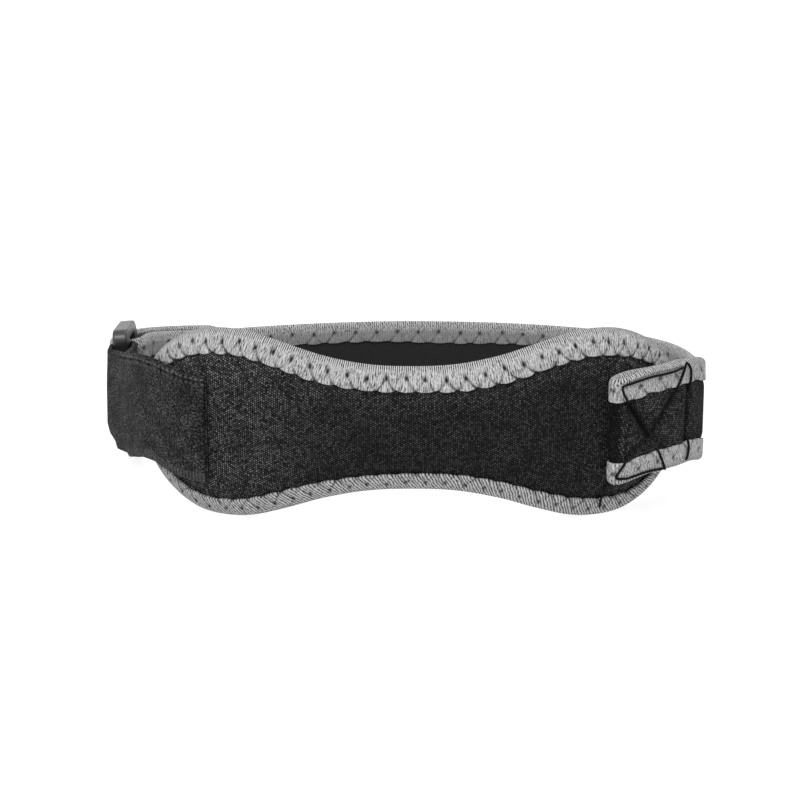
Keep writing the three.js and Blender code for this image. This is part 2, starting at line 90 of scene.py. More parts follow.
RIM_ROUND, LIP_FALL, LIP_REACH, LIP_WAVE = 1.25, 0.06, 1.2, 0.55
CREASE_WIDTH, CREASE_DEPTH, HOLE_WIDTH, HOLE_DEPTH, HILL_HEIGHT = 0.3, 0.34, 0.5, 0.7, 0.5
RING_POWER, HOOK_RISE, HOOK_TURN = 0.28, 0.12, 2.1

# Where the strap's rise, its folded end, the fold's painted shade and the tape's furrow step up and down along
# the strap, and where the tab's belly does, as shares of the tab's length

STRAP_RISE_AT = (-3.0, 11.0, 22.0, 40.0)
FOLDED_END_AT = (31.0, 35.0, 61.0, 66.0)
FOLD_SHADE_AT = (24.0, 27.0, 34.2, 35.6)
FURROW_AT = (33.5, 36.0, 56.0, 58.5)
TAB_BELLY_AT = (0.5, 0.55, 0.62, 0.76)

# How fine the surfaces are: rows and columns, the tape's columns, and its step along the edge

PAD_GRID, BLOWN_GRID, STRAP_GRID, TAB_GRID = (560, 88), (140, 24), (770, 64), (560, 88)
RING_GRID, HOOK_GRID, TAPE_COLUMNS, PAD_TAPE_STEP, STRAP_TAPE_STEP = (240, 48), (60, 30), 22, 0.22, 0.36

# How far the flat place of a body's back lies from its front's, so that the two are different cloth

PAD_BACK_SHIFT, BAND_BACK_SHIFT, HOOK_BACK_SHIFT = 80, 60, 20

# Looks: display levels of the painted shade on cloth and tape in seams, holes, creases and folds, cloth's
# shine and the light that the floor gives off

CLOTH_PAINTED_SHADE_GREY, TAPE_PAINTED_SHADE_GREY, CLOTH_SPECULAR, FLOOR_GLOW = 8, 14, 0.05, 0.85

# The studio: half the floor in metres, the lens and the sensor in millimetres, the camera's angle, what it and
# the lamps point at, and each lamp's name, place and size in metres

FLOOR_HALF, LENS, SENSOR, ELEVATION = 4.0, 105.0, 36.0, math.radians(22.43)
CAMERA_TARGET, LIT_POINT = np.array([0.042, -8.235, 25.110]) / 1000, (0, 0, 0.02)
LIGHT_ROWS = (
    ("key", (-0.45, -0.75, 1.1), 0.7), ("top", (0.25, 0.35, 1.3), 0.9), ("back", (-0.2, 1.5, 0.75), 0.8),
)

# The loop line, seen from above: shares of the half width, and of the reach to the front or to the back

LOOP_ROWS = [
    (0.0, -1.0), (0.33, -0.965), (0.62, -0.85), (0.82, -0.64), (0.95, -0.31), (1.0, 0.1),
    (0.93, 0.45), (0.72, 0.74), (0.4, 0.93), (0.0, 1.0), (-0.4, 0.97), (-0.74, 0.83),
    (-0.97, 0.55), (-1.03, 0.18), (-0.97, -0.25), (-0.82, -0.64), (-0.62, -0.85), (-0.33, -0.965),
]

# The pad's outline from its middle to its end: shares of its half length and of its half height

PAD_ROWS = [
    (0.0, 0.645), (0.14, 0.665), (0.28, 0.75), (0.41, 0.88), (0.52, 0.975), (0.61, 1.0),
    (0.71, 0.965), (0.81, 0.84), (0.89, 0.66), (0.96, 0.38), (1.0, 0.0),
]

# The strap's sag from the pad's right end round the back to the ring: shares of that way and of the sag

SAG_ROWS = [(-0.06, 0.0), (0.0, 0.4), (0.06, 0.62), (0.3, 0.66), (0.57, 0.68), (0.84, 1.0), (1.0, 0.43)]

# The tab's belly where it turns round the ring's bar: shares of its half width and of the belly

TAB_BELLY_ROWS = [
    (-1, 0.0), (-0.83, 0.2), (-0.64, 0.8), (-0.45, 0.95), (0.0, 0.5), (0.5, 0.1), (1.0, -0.35),
]

# The furrows that stitching pulls into the strap's folded end: two places along and across, and a depth

QUILT_ROWS = [
    ((36.6, 8.5), (44.1, -4.2), 1.4), ((54.5, 8.6), (44.1, -4.2), 1.0), ((44.1, -4.2), (37.4, -7.6), 0.9),
    ((44.1, -4.2), (49.5, -9.2), 0.8), ((59.6, 9.0), (59.3, -9.0), 1.1), ((36.4, 8.6), (36.6, -8.0), 0.5),
]

# The threads on the folded end: places along the strap, across it and out from the cloth's middle face

THREAD_ROWS = [
    [(35.0, 13.4, 1.9), (36.0, 14.1, 2.0), (40.2, 13.9, 2.0), (47.0, 13.5, 2.05), (52.5, 13.7, 2.05),
     (56.6, 14.3, 2.1), (57.4, 15.6, 1.7)],
    [(57.3, 15.5, 1.9), (56.2, 13.0, 2.1), (54.9, 10.8, 2.1), (53.9, 8.8, 1.9), (53.6, 8.2, 1.2)],
    [(57.3, 15.6, 1.9), (58.6, 14.4, 2.1), (59.6, 12.7, 2.1), (59.7, 10.0, 2.1), (59.5, 7.4, 1.7),
     (59.5, 6.4, 1.0)],
    [(35.3, 14.2, 1.9), (35.2, 13.0, 2.0), (35.5, 11.3, 2.05), (36.0, 9.9, 2.0), (36.4, 8.6, 1.7),
     (36.7, 7.8, 1.0)],
    [(36.7, -6.9, 1.1), (36.4, -8.0, 1.9), (35.6, -10.0, 2.05), (34.6, -12.4, 2.0), (34.4, -13.3, 2.0),
     (35.6, -14.0, 2.0)],
    [(34.4, -13.3, 2.0), (36.5, -13.9, 2.05), (41.0, -14.2, 1.95), (46.0, -14.6, 1.9), (49.8, -15.0, 1.8)],
    [(46.6, -8.4, 1.2), (47.1, -9.4, 1.95), (48.3, -12.0, 2.05), (49.4, -14.4, 1.9), (50.1, -15.6, 1.6)],
    [(59.0, -6.8, 1.0), (59.4, -8.4, 1.9), (59.7, -10.4, 2.05), (59.5, -12.8, 2.0), (58.6, -14.4, 1.9)],
]

# The loose end of thread on the pad below the fold: places along the pad's edge, inward and out

LOOSE_ROW = [
    (259.6, 12.6, 2.9), (260.2, 10.4, 3.1), (260.8, 8.2, 3.0), (261.4, 6.6, 3.3), (261.0, 4.6, 3.1),
    (260.4, 4.0, 2.6),
]

# Sizes that follow

PAD_TAPE_HALF = PAD_RIM_HALF + GAP + TAPE_WALL
STRAP_TAPE_HALF = STRAP_RIM_HALF + GAP + TAPE_WALL
STRAP_OUT = PAD_TAPE_HALF + GAP + STRAP_TAPE_HALF
FOLD_RADIUS = STRAP_TAPE_HALF + SLACK / 2
BAR_WRAP = math.hypot(BAR_WIDTH / 2, RING_THICKNESS / 2 - RING_BEVEL) + GAP + STRAP_TAPE_HALF
BAR_SPAN = (SLOT_WIDTH + BAR_WIDTH) / 2
FREE_SPACING = 2 * STRAP_HALF + 2 * HOOK_HALF + 2 * GAP
TAB_INNER = PAD_TAPE_HALF + GAP + TAB_HALF
TAB_OUTER = TAB_INNER + 2 * TAB_HALF + GAP
TAB_WRAP = RING_THICKNESS / 2 + GAP + TAB_HALF + TAB_SLACK

UP = np.array([0.0, 0.0, 1.0])


# Small numpy helpers


def unit(v):
    """Vectors divided by their own length."""
    return v / np.linalg.norm(v, axis=-1, keepdims=True)


def ease(x, a, b):
    """A smooth step from 0 at a to 1 at b."""
    t = np.clip((np.asarray(x, float) - a) / (b - a), 0, 1)
    return t * t * (3 - 2 * t)


def window(x, a, b, c, d):
    """A smooth step up from a to b, and a smooth step down again from c to d."""
    return ease(x, a, b) * (1 - ease(x, c, d))


def both(front, back):
    """The front's columns, and then the back's in turned order, so that they run round a section."""
    return np.concatenate([front, back[:, ::-1]], 1)


def bump(x, width):
    """A bell curve of height one at x = 0, which falls to a third at x = width."""
    return np.exp(-((x / width) ** 2))


def smooth(values, reach, closed=False):
    """A row of places with each replaced by a weighted mean of its neighbours within reach."""
    weights = np.exp(-(np.linspace(-2, 2, 2 * reach + 1) ** 2))
    weights /= weights.sum()
    pad = [(reach, reach)] + [(0, 0)] * (values.ndim - 1)
    if closed:
        wide = np.pad(values, pad, mode="wrap")
    else:
        wide = np.pad(values, pad, mode="reflect", reflect_type="odd")
    return sum(w * wide[i:i + len(values)] for i, w in enumerate(weights))


def closed_curve(points, steps=90):
    """A closed centripetal Catmull-Rom curve: each stretch is a cubic whose end slopes come from the
    neighbours, weighted by the square root of the distances."""
    p0, p1 = np.roll(points, 1, 0), points
    p2, p3 = np.roll(points, -1, 0), np.roll(points, -2, 0)
    pairs = ((p0, p1), (p1, p2), (p2, p3))
    d0, d1, d2 = (np.linalg.norm(b - a, axis=1, keepdims=True) ** 0.5 for a, b in pairs)
    m1 = ((p1 - p0) / d0 - (p2 - p0) / (d0 + d1) + (p2 - p1) / d1) * d1
    m2 = ((p2 - p1) / d1 - (p3 - p1) / (d1 + d2) + (p3 - p2) / d2) * d1
    t = np.linspace(0, 1, steps, endpoint=False)[None, :, None]
    p1, p2, m1, m2 = (a[:, None, :] for a in (p1, p2, m1, m2))
    curve = (2 * p1 - 2 * p2 + m1 + m2) * t**3 + (-3 * p1 + 3 * p2 - 2 * m1 - m2) * t**2 + m1 * t + p1
    return curve.reshape(-1, points.shape[1])


def measure(points, closed):
    """The distance along a row of places, and the direction of the row at each."""
    if closed:
        steps = np.linalg.norm(np.roll(points, -1, 0) - points, axis=1)
        along = np.roll(points, -1, 0) - np.roll(points, 1, 0)
    else:
        steps = np.linalg.norm(np.diff(points, axis=0), axis=1)
        along = np.gradient(points, axis=0)
    distance = np.concatenate([[0.0], np.cumsum(steps)])
    return distance, unit(along)


def read(x, at, values, period=None):
    """Rows of values read at x by straight interpolation."""
    columns = [np.interp(x, at, values[:, k], period=period) for k in range(values.shape[1])]
    return np.stack(columns, -1)


def each(count, seed, spread):
    """One seeded random number for each of count things, from -spread to spread."""
    return np.random.default_rng(seed).uniform(-spread, spread, count)


# The loop line, its pieces' routes, and the ring's frame


def loop_table():
    """The loop line as places at even steps, smoothed a little, with the distance along it and its
    direction."""
    rows = np.array(LOOP_ROWS)
    reach = np.where(rows[:, 1] < 0, LOOP_FRONT, LOOP_BACK)
    places = closed_curve(np.stack([rows[:, 0] * LOOP_HALF_WIDTH, rows[:, 1] * reach], 1))
    distance, along = measure(places, True)
    return distance[-1], distance[:-1], places, unit(smooth(along, 40, True))


LOOP_LENGTH, LOOP_AT, LOOP_PLACES, LOOP_ALONG = loop_table()
RING_PLACE = LOOP_LENGTH - PAD_HALF_LENGTH - RING_BEHIND_PAD
BAR_PLACE = RING_PLACE - BAR_SPAN


def along_loop(s):
    """The loop line's direction at distance s from the middle of the pad."""
    flat = unit(read(np.mod(s, LOOP_LENGTH), LOOP_AT, LOOP_ALONG, LOOP_LENGTH))
    return np.concatenate([flat, np.zeros(flat.shape[:-1] + (1,))], -1)


def on_loop(s, out, level):
    """The place at distance s along the loop line, out from it and up from its level."""
    s, out, level = np.broadcast_arrays(np.asarray(s, float), out, level)
    flat = read(np.mod(s, LOOP_LENGTH), LOOP_AT, LOOP_PLACES, LOOP_LENGTH)
    along = along_loop(s)
    x = flat[..., 0] + out * along[..., 1]
    y = flat[..., 1] - out * along[..., 0]
    return np.stack([x, y, level], -1)


def ring_frame():
    """The ring's centre, and its axes: back along the strap, up the ring's length and out through its slot."""
    turn = math.radians(RING_TURN)
    a = -along_loop(RING_PLACE)
    c, s = math.cos(turn), math.sin(turn)
    back = np.array([a[0] * c - a[1] * s, a[0] * s + a[1] * c, 0])
    lean = math.radians(RING_LEAN)
    rise = UP * math.cos(lean) + np.cross(UP, back) * math.sin(lean)
    return on_loop(RING_PLACE, RING_OUTSIDE, RING_LEVEL), back, rise, np.cross(rise, back)


RING_CENTRE, RING_BACK, RING_RISE, RING_OUT = ring_frame()


def on_ring(back, out, rise):
    """The place at a distance back, out and up from the ring's centre along the ring's own axes."""
    back, out, rise = np.broadcast_arrays(np.asarray(back, float), out, rise)
    flat = RING_CENTRE + back[..., None] * RING_BACK + out[..., None] * RING_OUT
    return flat + rise[..., None] * RING_RISE


def easy_curve(start, leaving, end, arriving, count):
    """Places on a cubic from start to end, which leaves and arrives in the given directions, without its
    ends."""
    pull = np.linalg.norm(end - start) / 3
    t = np.linspace(0, 1, count + 2)[1:-1, None]
    first, second = start + leaving * pull, end - arriving * pull
    return (1 - t)**3 * start + 3 * t * (1 - t)**2 * first + 3 * t**2 * (1 - t) * second + t**3 * end


def leaning(s):
    """How far the strap has turned to the ring's lean at distance s: 0 away from the ring and 1 at its bar."""
    return ease(s, BAR_PLACE - LEAN_FROM, BAR_PLACE - LEAN_TO)


def strap_level(s):
    """The level of the strap's middle at distance s along the loop line."""
    rows = np.array(SAG_ROWS)
    up, full, down, low = (STRAP_START + place for place in STRAP_RISE_AT)
    rise = ease(s, up, full) - ease(s, down, low)
    way = (np.asarray(s, float) - PAD_HALF_LENGTH) / (BAR_PLACE - PAD_HALF_LENGTH)
    return SEWN_LEVEL + STRAP_RISE * rise - STRAP_SAG * np.interp(way, rows[:, 0], rows[:, 1])


def make_band(places, lean, reach=3, step=0.5):
    """A band that follows places: even stations with the directions up it and through it."""
    distance, _ = measure(places, False)
    at = np.linspace(0, distance[-1], int(distance[-1] / step))
    even = smooth(read(at, distance, places), reach)
    leaning = np.interp(at, distance, lean)[:, None]
    distance, along = measure(even, False)
    rise = unit(UP * (1 - leaning) + RING_RISE * leaning)
    return distance, even, rise, unit(np.cross(along, rise))


def on_band(band, distance, v, n):
    """The place at a distance along a band, up it by v and through it by n."""
    at, places, rise, through = band
    distance, v, n = np.broadcast_arrays(distance, v, n)
    place = read(distance, at, places) + v[..., None] * unit(read(distance, at, rise))
    return place + n[..., None] * unit(read(distance, at, through))


def on_tab(band, distance, v, n):
    """The place on the tab: its band's place, pushed out by the belly where the tab turns round the ring's
    bar, and drawn up a little along its lower edge past the ring."""
    rows = np.array(TAB_BELLY_ROWS)
    belly = np.interp(v / STRAP_HALF_WIDTH, rows[:, 0], rows[:, 1])
    near = window(distance / TAB_LENGTH, *TAB_BELLY_AT)
    low = ease(-v, 2, STRAP_HALF_WIDTH) * bump(distance - TAB_DROOP_AT * TAB_LENGTH, TAB_DROOP_REACH)
    return on_band(band, distance, v + TAB_DROOP * low, n + TAB_BELLY * belly * near)


def strap_band():
    """The strap's route: the turned-under end, the fold, round the back, round the rear bar, and the free
    end."""
    second = STRAP_OUT + 2 * FOLD_RADIUS
    leave = BAR_PLACE - APPROACH
    fold_start, fold_end = STRAP_START + FOLD_RADIUS, STRAP_START + TURNED_UNDER
    s = np.linspace(fold_end, fold_start, 40)
    tuck = FOLD_TUCK * ease(s, fold_start, fold_start + TUCK_REACH)
    parts = [on_loop(s, STRAP_OUT, strap_level(s) - tuck)]
    lean = [np.zeros(len(s))]
    a = np.linspace(0, np.pi, 18)[1:-1]
    s = STRAP_START + FOLD_RADIUS * (1 - np.sin(a))
    parts.append(on_loop(s, STRAP_OUT + FOLD_RADIUS * (1 - np.cos(a)), strap_level(s)))
    lean.append(np.zeros(len(s)))
    s = np.linspace(fold_start, leave, 260)
    down = ease(s, fold_end, fold_end + TURNED_RAMP)
    parts.append(on_loop(s, second + (STRAP_OUT - second) * down, strap_level(s)))
    lean.append(leaning(s))
    at_ring = strap_level(BAR_PLACE) - RING_LEVEL
    inside, outside = on_ring(BAR_SPAN, -BAR_WRAP, at_ring), on_ring(BAR_SPAN, BAR_WRAP, at_ring)
    parts.append(easy_curve(parts[-1][-1], along_loop(leave), inside, -RING_BACK, 24))
    lean.append(leaning(leave + APPROACH * np.linspace(0, 1, 26)[1:-1]))
    a = np.linspace(0, np.pi, 24)
    parts.append(on_ring(BAR_SPAN - BAR_WRAP * np.sin(a), -BAR_WRAP * np.cos(a), at_ring))
    lean.append(np.ones(len(a)))
    last = BAR_PLACE - FREE_LENGTH
    free = on_loop(last, STRAP_OUT + FREE_SPACING, strap_level(last))
    leaving, arriving = unit(RING_BACK + FREE_LIFT * UP), unit(-along_loop(last) - FREE_LIFT * UP)
    parts += [easy_curve(outside, leaving, free, arriving, 36), free[None, :]]
    lean.append(leaning(BAR_PLACE - FREE_LENGTH * np.linspace(0, 1, 38)[1:]))
    return make_band(np.concatenate(parts), np.concatenate(lean))


def tab_band():
    """The tab's route: sewn on the pad, out to the ring, round its front bar and back on its own outside."""
    start, reach = PAD_HALF_LENGTH - TAB_SEWN, PAD_HALF_LENGTH + TAB_PAST_PAD
    s = np.linspace(start, reach, 60)
    at_ring = TAB_LEVEL_AT_RING - RING_LEVEL
    a = np.linspace(0, np.pi, 30)
    wrap = on_ring(-BAR_SPAN + TAB_WRAP * np.sin(a), -TAB_WRAP * np.cos(a), at_ring)
    before, after = (
        on_ring(-BAR_SPAN - TAB_STRAIGHT, out, at_ring)[None, :] for out in (-TAB_WRAP, TAB_WRAP * TAB_PINCH)
    )
    wrap = np.concatenate([before, wrap, after])
    high = start + TAB_RISE_REACH
    level = SEWN_LEVEL + TAB_RISE * (ease(s, start, high) - ease(s, high, reach + 3))
    places = np.concatenate([on_loop(-s, TAB_INNER, level), wrap, on_loop(-s, TAB_OUTER, level)[::-1]])
    lean = ease(s, PAD_HALF_LENGTH - TAB_LEAN_FROM, PAD_HALF_LENGTH + RING_BEHIND_PAD - BAR_SPAN)
    return make_band(places, np.concatenate([lean, np.ones(len(wrap)), lean[::-1]]), reach=4)


STRAP_BAND = strap_band()
STRAP_LENGTH = STRAP_BAND[0][-1]
TAB_BAND = tab_band()
TAB_LENGTH = TAB_BAND[0][-1]


# Edges in the flat cloth: each is a table of the distance along it, its places and its inward directions


def pad_edge():
    """The pad's outline in the flat, from its left tip over the top and back below."""
    right = np.array(PAD_ROWS) * [PAD_HALF_LENGTH, PAD_HALF_HEIGHT]
    left = right[:0:-1] * [-1, 1]
    upper = np.concatenate([left, right])
    lower = upper[-2:0:-1] * [1, -1]
    places = closed_curve(np.concatenate([upper, lower]))
    distance, along = measure(places, True)
    along = unit(smooth(along, 30, True))
    inward = np.stack([along[:, 1], -along[:, 0]], 1)
    return distance[-1], distance[:-1], np.concatenate([places, inward], 1)


PAD_EDGE = pad_edge()


def on_pad_edge(q, inward, through):
    """The place inward from distance q along the pad's edge and through the cloth. The long edges curl back
    as a parabola of the inward distance, and through is measured square to that curve."""
    length, at, table = PAD_EDGE
    q, inward, through = np.broadcast_arrays(q, inward, through)
    e = read(np.mod(q, length), at, table, length)
    rest = np.clip(1 - inward / CURL_REACH, 0, None)
    curl = PAD_CURL * e[..., 3] ** 2
    slope = 2 * curl / CURL_REACH * rest
    size = np.hypot(1, slope)
    shift = inward - through * slope / size
    out = through / size - curl * rest**2
    return on_loop(e[..., 0] + e[..., 2] * shift, out, e[..., 1] + e[..., 3] * shift + PAD_LEVEL)


def strap_edge():
    """The strap's edge in the flat: up one side, round the free end and back down the other side."""
    straight = np.linspace(0, STRAP_LENGTH - STRAP_CORNER, 700)
    a = np.linspace(0, np.pi / 2, 30)[1:]
    v = np.linspace(STRAP_HALF_WIDTH - STRAP_CORNER, 0, 20)[1:]
    corner = STRAP_LENGTH - STRAP_CORNER, STRAP_HALF_WIDTH - STRAP_CORNER
    stretches = (
        (straight, STRAP_HALF_WIDTH, 0.0, -1.0),
        (corner[0] + STRAP_CORNER * np.sin(a), corner[1] + STRAP_CORNER * np.cos(a), -np.sin(a), -np.cos(a)),
        (STRAP_LENGTH, v, -1.0, 0.0),
    )
    half = np.concatenate([np.stack(np.broadcast_arrays(*stretch), 1) for stretch in stretches])
    table = np.concatenate([half, half[-2::-1] * [1, -1, 1, -1]])
    distance, _ = measure(table[:, :2], False)
    return distance[-1], distance, table


STRAP_EDGE = strap_edge()


def on_strap_edge(q, inward, through):
    """The place inward from distance q along the strap's edge and through the cloth."""
    _, at, table = STRAP_EDGE
    q, inward, through = np.broadcast_arrays(q, inward, through)
    e = read(q, at, table)
    return on_band(STRAP_BAND, e[..., 0] + e[..., 2] * inward, e[..., 1] + e[..., 3] * inward, through)


# Making a mesh from grids of places


def to_part(points):
    """From the loop's own frame in millimetres to the part's frame in metres: a turn about X by the rest
    tilt, a shift, and no place below the floor."""
    c, s = math.cos(REST_TILT), math.sin(REST_TILT)
    x, y, z = points[..., 0], points[..., 1], points[..., 2]
    turned = np.stack([x, y * c + z * s, z * c - y * s], -1) + LOOP_PLACE
    turned[..., 2] = np.maximum(turned[..., 2], 0.0)
    return turned / 1000


def grid_faces(rows, columns, round_rows, round_columns):
    """The four corners of each face of a grid of rows by columns, joined round where asked."""
    first, second = np.arange(rows - (not round_rows)), np.arange(columns - (not round_columns))
    i, j = np.meshgrid(first, second, indexing="ij")
    i2, j2 = (i + 1) % rows, (j + 1) % columns
    corners = [i * columns + j, i2 * columns + j, i2 * columns + j2, i * columns + j2]
    return np.stack(corners, -1).reshape(-1, 4)


def make_piece(name, grids, replaces, material):
    """One object from grids. Each grid holds its places in the loop's frame as rows, columns and 3 numbers,
    their flat position in millimetres for the UV map, whether rows and columns are joined round, whether
    its two ends are capped, and shares for the sewn attribute, which is painted shade, and for the slant and
    lit attributes."""
    places, faces, flats, caps, start = [], [], [], [], 0
    shares = {"sewn": [], "slant": [], "lit": []}
    for grid in grids:
        rows, columns = grid["places"].shape[:2]
        round_rows, round_columns = grid.get("round_rows", False), grid.get("round_columns", False)
        faces.append(grid_faces(rows, columns, round_rows, round_columns) + start)
        if grid.get("caps"):
            last = start + (rows - 1) * columns
            caps += [list(range(start, start + columns)), list(range(last, last + columns))]
        places.append(to_part(grid["places"]).reshape(-1, 3))
        flats.append(np.broadcast_to(grid["flat"], (rows, columns, 2)).reshape(-1, 2))
        for share, values in shares.items():
            values.append(np.broadcast_to(grid.get(share, 0.0), (rows, columns)).reshape(-1))
        start += rows * columns
    mesh = bpy.data.meshes.new(name)
    mesh.from_pydata(np.concatenate(places), [], np.concatenate(faces).tolist() + caps)
    mesh.update()
    corners = np.empty(len(mesh.loops), dtype=np.int32)
    mesh.loops.foreach_get("vertex_index", corners)
    flat = np.concatenate(flats).astype(np.float32)
    mesh.uv_layers.new(name="flat").data.foreach_set("uv", flat[corners].ravel())
    for share, values in shares.items():
        attribute = mesh.attributes.new(share, "FLOAT", "POINT")
        attribute.data.foreach_set("value", np.concatenate(values).astype(np.float32))
    mesh.polygons.foreach_set("use_smooth", np.ones(len(mesh.polygons), dtype=bool))
    close_seams(mesh)
    piece = place_object(name, mesh, material)
    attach(piece, "root")
    if replaces:
        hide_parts(replaces)
    return piece


def place_object(name, data, material=None):
    """A new object in the scene, with a material by its name where one is given."""
    if material:
        data.materials.append(bpy.data.materials[material])
    thing = bpy.data.objects.new(name, data)
    bpy.context.collection.objects.link(thing)
    return thing


def close_seams(mesh):
    """Doubled places merged, and all faces turned out."""
    work = bmesh.new()
    work.from_mesh(mesh)
    bmesh.ops.remove_doubles(work, verts=work.verts, dist=2e-6)
    bmesh.ops.recalc_face_normals(work, faces=work.faces)
    work.to_mesh(mesh)
    work.free()


# The tape: a channel folded over an edge, sewn through with a zigzag


def tape_profile(half, count):
    """The tape's outer section from its inner edge over the rim: shares of the width, and heights through
    the cloth. A quarter ellipse rounds the rim, and the free edge falls a little."""
    turn = np.linspace(0, np.pi / 2, count // 3 + 1)[:-1]
    radius = half * RIM_ROUND
    rim_d, rim_n = radius * (1 - np.cos(turn)), half * np.sin(turn)
    flat_d = np.linspace(radius, TAPE_WIDTH, count - len(turn))
    flat_n = half * (1 - LIP_FALL * ease(flat_d, TAPE_WIDTH - LIP_REACH, TAPE_WIDTH))
    d, n = np.concatenate([rim_d, flat_d]), np.concatenate([rim_n, flat_n])
    return d[::-1] / TAPE_WIDTH, n[::-1]


def sewing(q, share, pitch, hole, seed, count, meet):
    """The relief of a zigzag on the tape at distance q and at a share of the width: how far the cloth
    lifts, how much painted shade darkens its creases and needle holes, and how far its inner edge reaches. A
    needle hole lies at the share hole once a pitch. Two creases run from it to the inner edge, where they are
    a share meet of the pitch away on each side, and the cloth swells between them as a hill."""
    turn = q / pitch
    nearest = np.round(turn).astype(int)
    pick = np.mod(nearest, count)
    x = (turn - nearest) * pitch + each(count, seed, 0.3)[pick]
    hole_at = hole + each(count, seed + 1, 0.045)[pick]
    strength = 1 + each(count, seed + 2, 0.4)[pick]
    uneven = 0.55 + 0.4 * each(count, seed + 3, 1.0)[pick]
    below = np.clip((share - hole_at) / (1 - hole_at), 0, 1)
    half = np.maximum(below * meet * pitch, CREASE_WIDTH)
    inside = np.clip(1 - np.abs(x) / half, 0, 1)
    crease = np.where(x > 0, 1.0, uneven) * bump(np.abs(x) - below * meet * pitch, CREASE_WIDTH)
    crease = crease * (share > hole_at) * (0.5 + 0.5 * below)
    pit = bump(np.hypot(x, (share - hole_at) * TAPE_WIDTH * 0.8), HOLE_WIDTH)
    swell = inside * (1 - inside * 0.35) * ease(below, 0.05, 0.75)
    between = (1 - bump(x, pitch * 0.22)) * ease(share, hole_at - 0.25, hole_at + 0.25) * (1 - below)
    lift = strength * (HILL_HEIGHT * swell + 0.16 * between - CREASE_DEPTH * crease) - HOLE_DEPTH * pit
    # Painted shade in the creases and the needle holes
    dark = np.clip(strength * (0.85 * crease * (0.35 + below)) + 1.35 * pit, 0, 1)
    reach = LIP_WAVE * strength * (np.cos(np.pi * np.clip(x / pitch, -0.5, 0.5)) ** 0.8 - 0.55)
    return lift, dark, reach


def nothing(q, *_):
    """Nothing, everywhere along the edge."""
    return 0 * q


def tape_grid(
    put, length, half, pitch, step, closed, hole, meet, seed, width, slant, gather,
    pinch=nothing, furrow=nothing, shade=nothing,
):
    """The tape as a grid: rows along the edge, and columns round the channel's section, which is
    tape_profile outside and three straight walls inside. Width, slant, gather, pinch, furrow and shade are
    functions of the distance q along the edge."""
    repeats = max(1, round(length / pitch))
    q = np.linspace(0, length, int(length / step), endpoint=not closed)[:, None]
    share, height = tape_profile(half, TAPE_COLUMNS)
    share = np.concatenate([share, share[::-1][1:]])[None, :]
    height = np.concatenate([height, -height[::-1][1:]])[None, :]
    side = np.sign(height + 1e-9)
    gathered = gather(q)
    lift, dark, reach = sewing(q, share, length / repeats, hole, seed, repeats, meet)
    lift, dark, reach = lift * gathered, dark * (0.5 + 0.5 * gathered), reach * gathered
    wander = 0.22 * np.sin(q / 17 + seed) + 0.16 * np.sin(q / 7.3 + 2 * seed)
    wide = TAPE_WIDTH + wander + width(q)
    inward = share * (wide + reach * ease(share, 0.4, 1.0)) + pinch(q) * (1 - share) ** 2
    through = height + side * lift * ease(share, 0.22, 0.45)
    through = through - side * furrow(q, inward) * (side > 0)
    dark = np.clip(dark + shade(q, side, share), 0, 1)
    inner = half - TAPE_WALL
    lip = inward[:, -1:] * np.array([1.0, 0.72, 0.32])
    back_in = np.concatenate([lip, np.full_like(q, TAPE_WALL), lip[:, ::-1]], 1)
    back_through = np.concatenate([np.full(3, -inner), [0.0], np.full(3, inner)])[None, :]
    inward = np.concatenate([inward, back_in], 1)
    through = np.concatenate([through, np.broadcast_to(back_through, back_in.shape)], 1)
    along = np.broadcast_to(q, inward.shape)
    return {
        "places": put(along, inward, through),
        "flat": np.stack([along, inward * np.sign(through + 1e-9)], -1),
        "slant": slant(q),
        # The sewn attribute holds painted shade: the creases, needle holes and the shade between the strap's
        # layers
        "sewn": np.concatenate([dark, np.zeros_like(back_in)], 1),
        "round_rows": closed,
        "round_columns": True,
        "caps": not closed,
    }


def band_grid(put, band, end, size, half_width, half_height, relief, shade, lit):
    """A closed body along a band: rows along it, and columns round its section, across as the sine of an
    even turn. The half width, the half height, the relief on each side and the shares of shade and lit are
    functions of the distance d along and the height v across."""
    rows, columns = size
    d = np.linspace(0.0, end, rows)[:, None]
    v = np.sin(np.linspace(-np.pi / 2, np.pi / 2, columns))[None, :] * half_width(d)
    d = np.broadcast_to(d, v.shape)
    half = half_height(d, v)
    front, back = half + relief(d, v, 1), -half - relief(d, v, -1)
    return {
        "places": both(put(band, d, v, front), put(band, d, v, back)),
        "flat": np.stack([both(d, d), both(v, v + BAND_BACK_SHIFT)], -1),
        # The sewn attribute holds painted shade from the shade function
        "sewn": both(shade(d, v, 1), shade(d, v, -1)),
        "lit": both(lit(d, v, 1), lit(d, v, -1)),
        "round_columns": True,
        "caps": True,
    }


def pad_outline():
    """The upper half of the pad's outline as a function of x: its distance along the edge, height and
    slope."""
    _, at, table = PAD_EDGE
    half_count = len(at) // 2 + 1
    edge_x, edge_h = table[:half_count, 0], table[:half_count, 1]
    slope = np.gradient(edge_h, edge_x + np.linspace(0, 1e-6, half_count))
    return edge_x, np.stack([at[:half_count], edge_h, slope], 1)


